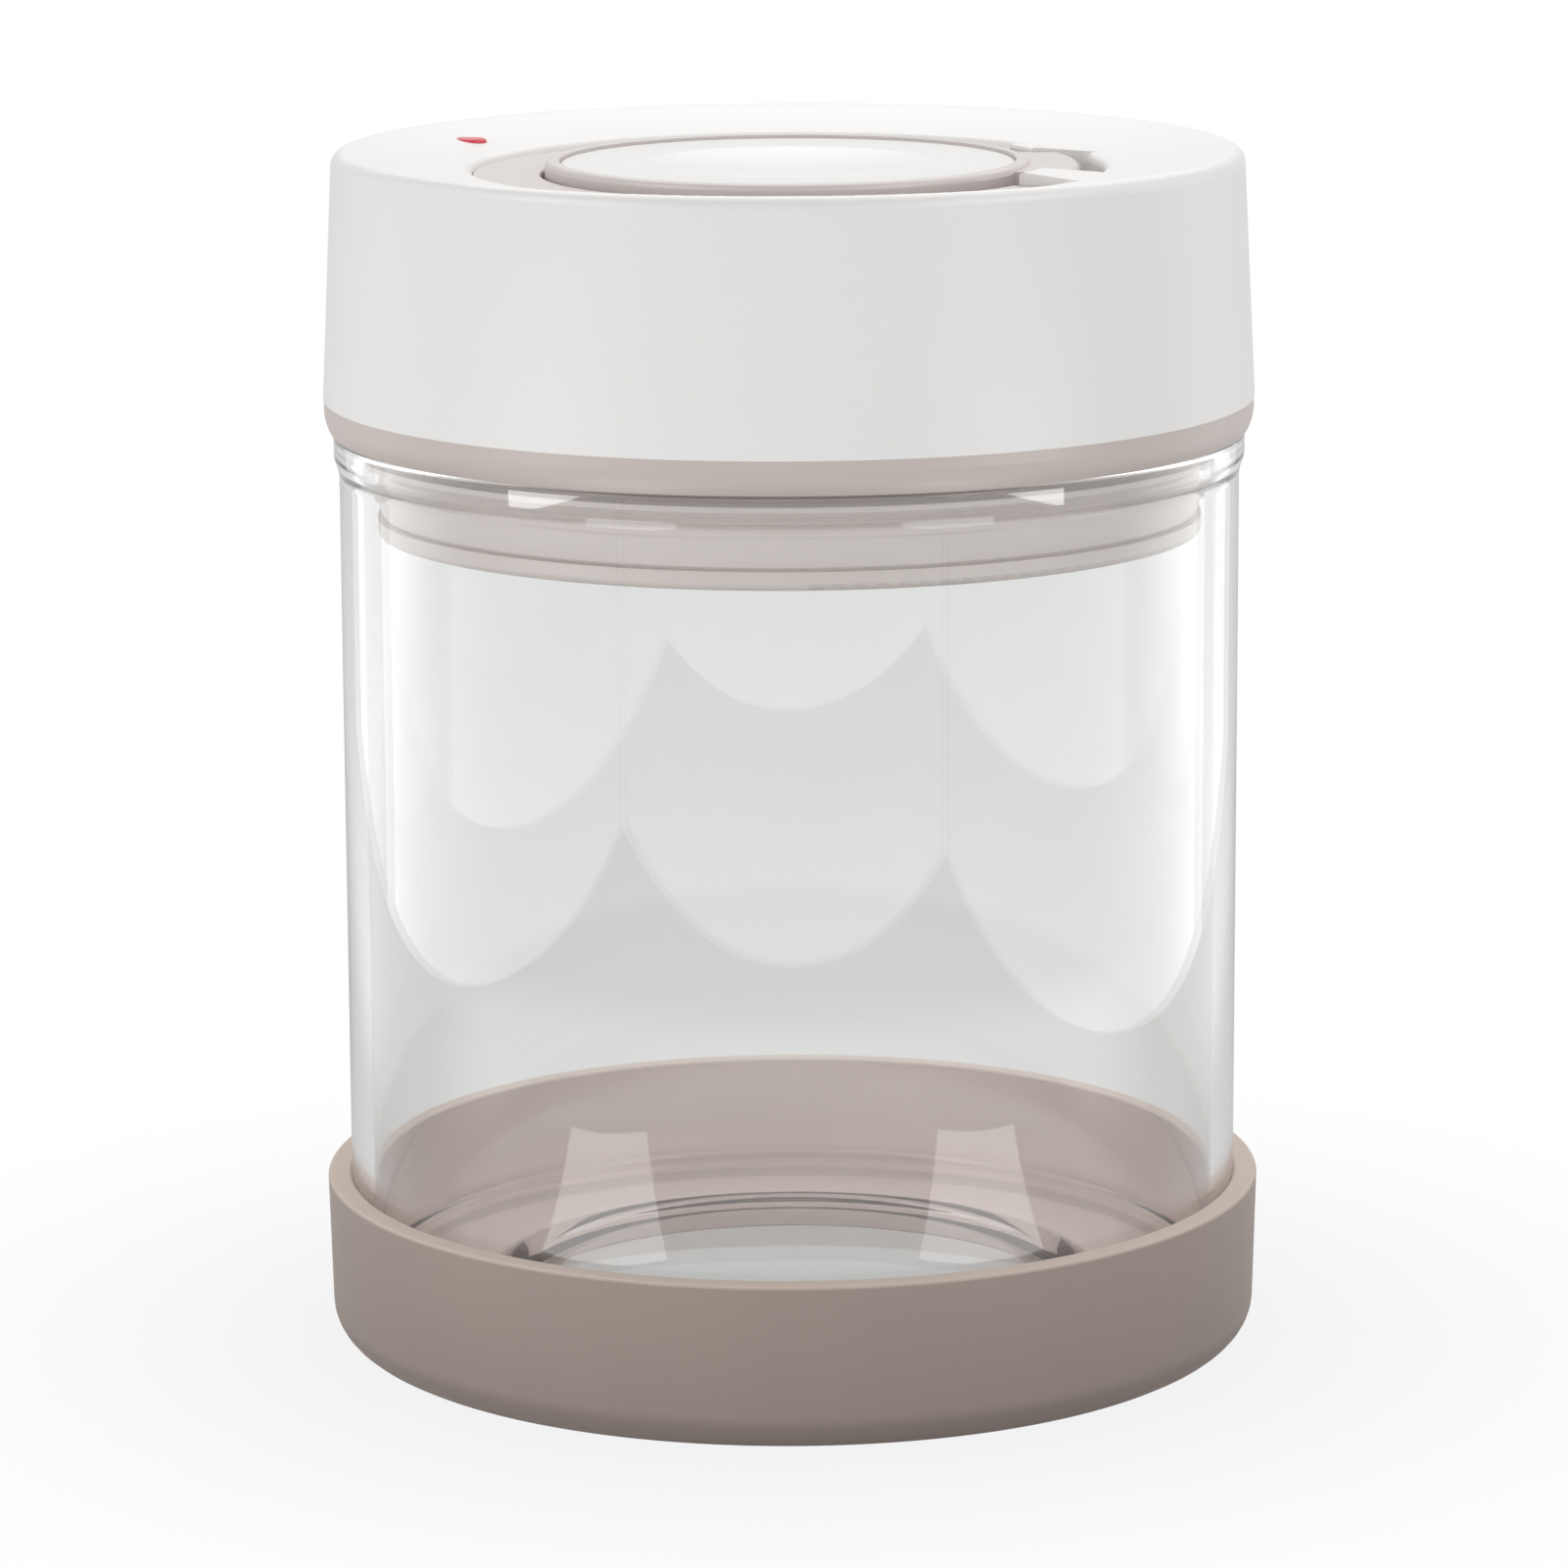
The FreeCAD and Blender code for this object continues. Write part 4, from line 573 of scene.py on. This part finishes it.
def light_world():
    """A white surround to the camera, a pale grey one in glass and gloss, and a soft fill for all else."""
    world = bpy.data.worlds.new("studio")
    bpy.context.scene.world = world
    world.use_nodes = True
    tree = world.node_tree
    tree.nodes.clear()
    path = add(tree, "ShaderNodeLightPath")
    mirrored = add(tree, "ShaderNodeMath", {
        0: path.outputs["Is Glossy Ray"],
        1: path.outputs["Is Transmission Ray"],
    }, operation="MAXIMUM")
    fill = add(tree, "ShaderNodeBackground", {"Color": WHITE, "Strength": FILL_STRENGTH})
    pale = add(tree, "ShaderNodeBackground", {"Color": WHITE, "Strength": PALE_STRENGTH})
    white = add(tree, "ShaderNodeBackground", {"Color": WHITE, "Strength": WHITE_STRENGTH})
    unseen = add(tree, "ShaderNodeMixShader", {
        0: mirrored.outputs[0],
        1: fill.outputs[0],
        2: pale.outputs[0],
    })
    shown = add(tree, "ShaderNodeMixShader", {
        0: path.outputs["Is Camera Ray"],
        1: unseen.outputs[0],
        2: white.outputs[0],
    })
    add(tree, "ShaderNodeOutputWorld", {"Surface": shown.outputs[0]})


# Stage: a tent of soft panels, with no wall at the back

TENT_LEFT = -285
TENT_RIGHT = 251
TENT_FRONT = -332
TENT_HEIGHT = 520
TENT_MIDDLE = (TENT_LEFT + TENT_RIGHT) / 2
TENT_WIDTH = TENT_RIGHT - TENT_LEFT
HALF_HEIGHT = TENT_HEIGHT / 2
WALL_DEPTH = 700
WALL_CENTRE = 20
# Cards hang this far from a panel, or from each other, so that no two share a plane
LAYER = 1
CARD_DEPTH = 480
CARD_CENTRE = -90
HIGH_CARD_SIZE = (256, 260)
HIGH_CARD_CENTRE = (-204, 390)
HIGH_CARD_RADIANCE = 2.6
LOW_CARD_SIZE = (210, 18)
LOW_CARD_CENTRE = -225
LEFT_LOW_CARD_HEIGHT = 86
RIGHT_LOW_CARD_HEIGHT = 93
LOW_CARD_RADIANCE = 9.0
LOW_PANEL_SIZE = (200, 60)
LOW_PANEL_SIDE = 170
LOW_PANEL_CENTRE = (-160, 46)
LOW_PANEL_AIM = (0.9, -0.1)
ROOF_SIZE = (520, 520)
ROOF_CENTRE = (60, 260)
ROOF_FACING = (-0.1, -0.45, -1)
REAR_CARD_SIZE = (600, 230)
REAR_CARD_CENTRE = (0, 520, 405)
REAR_CARD_FACING = (0, -1, -0.5)
FLOOR_CARD_SIDE = 110
FLOOR_CARD_CENTRE = (-131, 1.5)
FLOOR_CARD_LONG = 74
FLOOR_CARD_SHORT = 66
FLOOR_CARD_TURN = 45
FLOOR_CARD_RADIANCE = 3.2
TO_BACK = (0, 1, 0)
TO_RIGHT = (1, 0, 0)
TO_LEFT = (-1, 0, 0)
UPWARDS = (0, 0, 1)


def hang_panel(name, centre, size, facing, radiance, turn=0, mirrored=True, lights=True, through=True):
    """A softbox panel with an even glow. Facing is the way that it shines, and turn the degrees that it is
    turned about that way.

    One that isn't mirrored lights the piece unseen in glass and gloss, and one that doesn't light is only
    seen there. One that isn't seen through glass shows as a mirror image alone.
    """
    width, height = size
    lamp = bpy.data.lights.new(name, "AREA")
    lamp.shape = "RECTANGLE"
    lamp.size = width * MM
    lamp.size_y = height * MM
    lamp.energy = radiance * math.pi * lamp.size * lamp.size_y
    panel = bpy.data.objects.new(name, lamp)
    panel.location = Vector(centre) * MM
    aim = Vector(facing).to_track_quat("-Z", "Y").to_matrix()
    panel.rotation_euler = (aim @ Matrix.Rotation(math.radians(turn), 3, "Z")).to_euler()
    panel.visible_camera = False
    panel.visible_diffuse = lights
    panel.visible_glossy = mirrored
    panel.visible_transmission = mirrored and through
    bpy.context.scene.collection.objects.link(panel)


def hang_panels():
    """Three walls and a roof panel that light and show, and two low panels that only light."""
    front_size = (TENT_WIDTH, TENT_HEIGHT)
    wall_size = (WALL_DEPTH, TENT_HEIGHT)
    hang_panel("front_panel", (TENT_MIDDLE, TENT_FRONT, HALF_HEIGHT), front_size, TO_BACK, radiance=0.58)
    hang_panel("left_panel", (TENT_LEFT, WALL_CENTRE, HALF_HEIGHT), wall_size, TO_RIGHT, radiance=0.43)
    hang_panel("right_panel", (TENT_RIGHT, WALL_CENTRE, HALF_HEIGHT), wall_size, TO_LEFT, radiance=0.36)
    hang_panel("top_panel", (*ROOF_CENTRE, TENT_HEIGHT), ROOF_SIZE, ROOF_FACING, radiance=1.53)
    hang_panel("low_left_panel", (-LOW_PANEL_SIDE, *LOW_PANEL_CENTRE), LOW_PANEL_SIZE, (1, *LOW_PANEL_AIM),
               radiance=1.4, mirrored=False)
    hang_panel("low_right_panel", (LOW_PANEL_SIDE, *LOW_PANEL_CENTRE), LOW_PANEL_SIZE, (-1, *LOW_PANEL_AIM),
               radiance=0.45, mirrored=False)


def hang_wall_cards():
    """Cards on the walls, seen only as the bright fields that the glass mirrors."""
    front_size = (TENT_WIDTH, TENT_HEIGHT)
    card_size = (CARD_DEPTH, TENT_HEIGHT)
    hang_panel("front_card", (TENT_MIDDLE, TENT_FRONT - LAYER, HALF_HEIGHT), front_size, TO_BACK,
               radiance=0.80, lights=False)
    hang_panel("left_card", (TENT_LEFT - LAYER, CARD_CENTRE, HALF_HEIGHT), card_size, TO_RIGHT,
               radiance=0.88, lights=False)
    hang_panel("right_card", (TENT_RIGHT + LAYER, CARD_CENTRE, HALF_HEIGHT), card_size, TO_LEFT,
               radiance=0.92, lights=False)
    hang_panel("left_high_card", (TENT_LEFT + LAYER, *HIGH_CARD_CENTRE), HIGH_CARD_SIZE, TO_RIGHT,
               radiance=HIGH_CARD_RADIANCE, lights=False)
    hang_panel("right_high_card", (TENT_RIGHT - LAYER, *HIGH_CARD_CENTRE), HIGH_CARD_SIZE, TO_LEFT,
               radiance=HIGH_CARD_RADIANCE, lights=False)


def hang_edge_cards():
    """Cards that give the lip bead its highlights, the cap's top its gloss and the lower wall its two
    columns of light.
    """
    left_low = (TENT_LEFT + 2 * LAYER, LOW_CARD_CENTRE, LEFT_LOW_CARD_HEIGHT)
    right_low = (TENT_RIGHT - 2 * LAYER, LOW_CARD_CENTRE, RIGHT_LOW_CARD_HEIGHT)
    hang_panel("left_low_card", left_low, LOW_CARD_SIZE, TO_RIGHT,
               radiance=LOW_CARD_RADIANCE, lights=False, through=False)
    hang_panel("right_low_card", right_low, LOW_CARD_SIZE, TO_LEFT,
               radiance=LOW_CARD_RADIANCE, lights=False, through=False)
    hang_panel("rear_card", REAR_CARD_CENTRE, REAR_CARD_SIZE, REAR_CARD_FACING, radiance=0.5, lights=False)
    hang_panel("left_floor_card", (-FLOOR_CARD_SIDE, *FLOOR_CARD_CENTRE), (FLOOR_CARD_SHORT, FLOOR_CARD_LONG),
               UPWARDS, radiance=FLOOR_CARD_RADIANCE, turn=FLOOR_CARD_TURN, lights=False, through=False)
    hang_panel("right_floor_card", (FLOOR_CARD_SIDE, *FLOOR_CARD_CENTRE), (FLOOR_CARD_LONG, FLOOR_CARD_SHORT),
               UPWARDS, radiance=FLOOR_CARD_RADIANCE, turn=FLOOR_CARD_TURN, lights=False, through=False)


# Stage: camera

CAMERA_PLACE = (-0.9, -878.4, 253.3)
# In degrees: the view looks down a little, and is rolled to split the lean of jar and lid in the photograph
CAMERA_DIP = 11.47
CAMERA_ROLL = -0.28
SENSOR_WIDTH = 36.0
# The photograph's width and the view's focal length, in its pixels
PHOTO_WIDTH = 1601
FOCAL_LENGTH = 6781


def set_camera():
    """The view of the photograph: straight on and a little from above."""
    lens = bpy.data.cameras.new("camera")
    lens.sensor_width = SENSOR_WIDTH
    lens.lens = SENSOR_WIDTH * FOCAL_LENGTH / PHOTO_WIDTH
    camera = bpy.data.objects.new("camera", lens)
    camera.location = Vector(CAMERA_PLACE) * MM
    level = Euler((math.radians(90 - CAMERA_DIP), 0, 0)).to_matrix()
    camera.rotation_euler = (level @ Matrix.Rotation(math.radians(CAMERA_ROLL), 3, "Z")).to_euler()
    bpy.context.scene.collection.objects.link(camera)
    bpy.context.scene.camera = camera


lay_floor()
light_world()
hang_panels()
hang_wall_cards()
hang_edge_cards()
set_camera()
bpy.context.scene.view_settings.view_transform = "Standard"
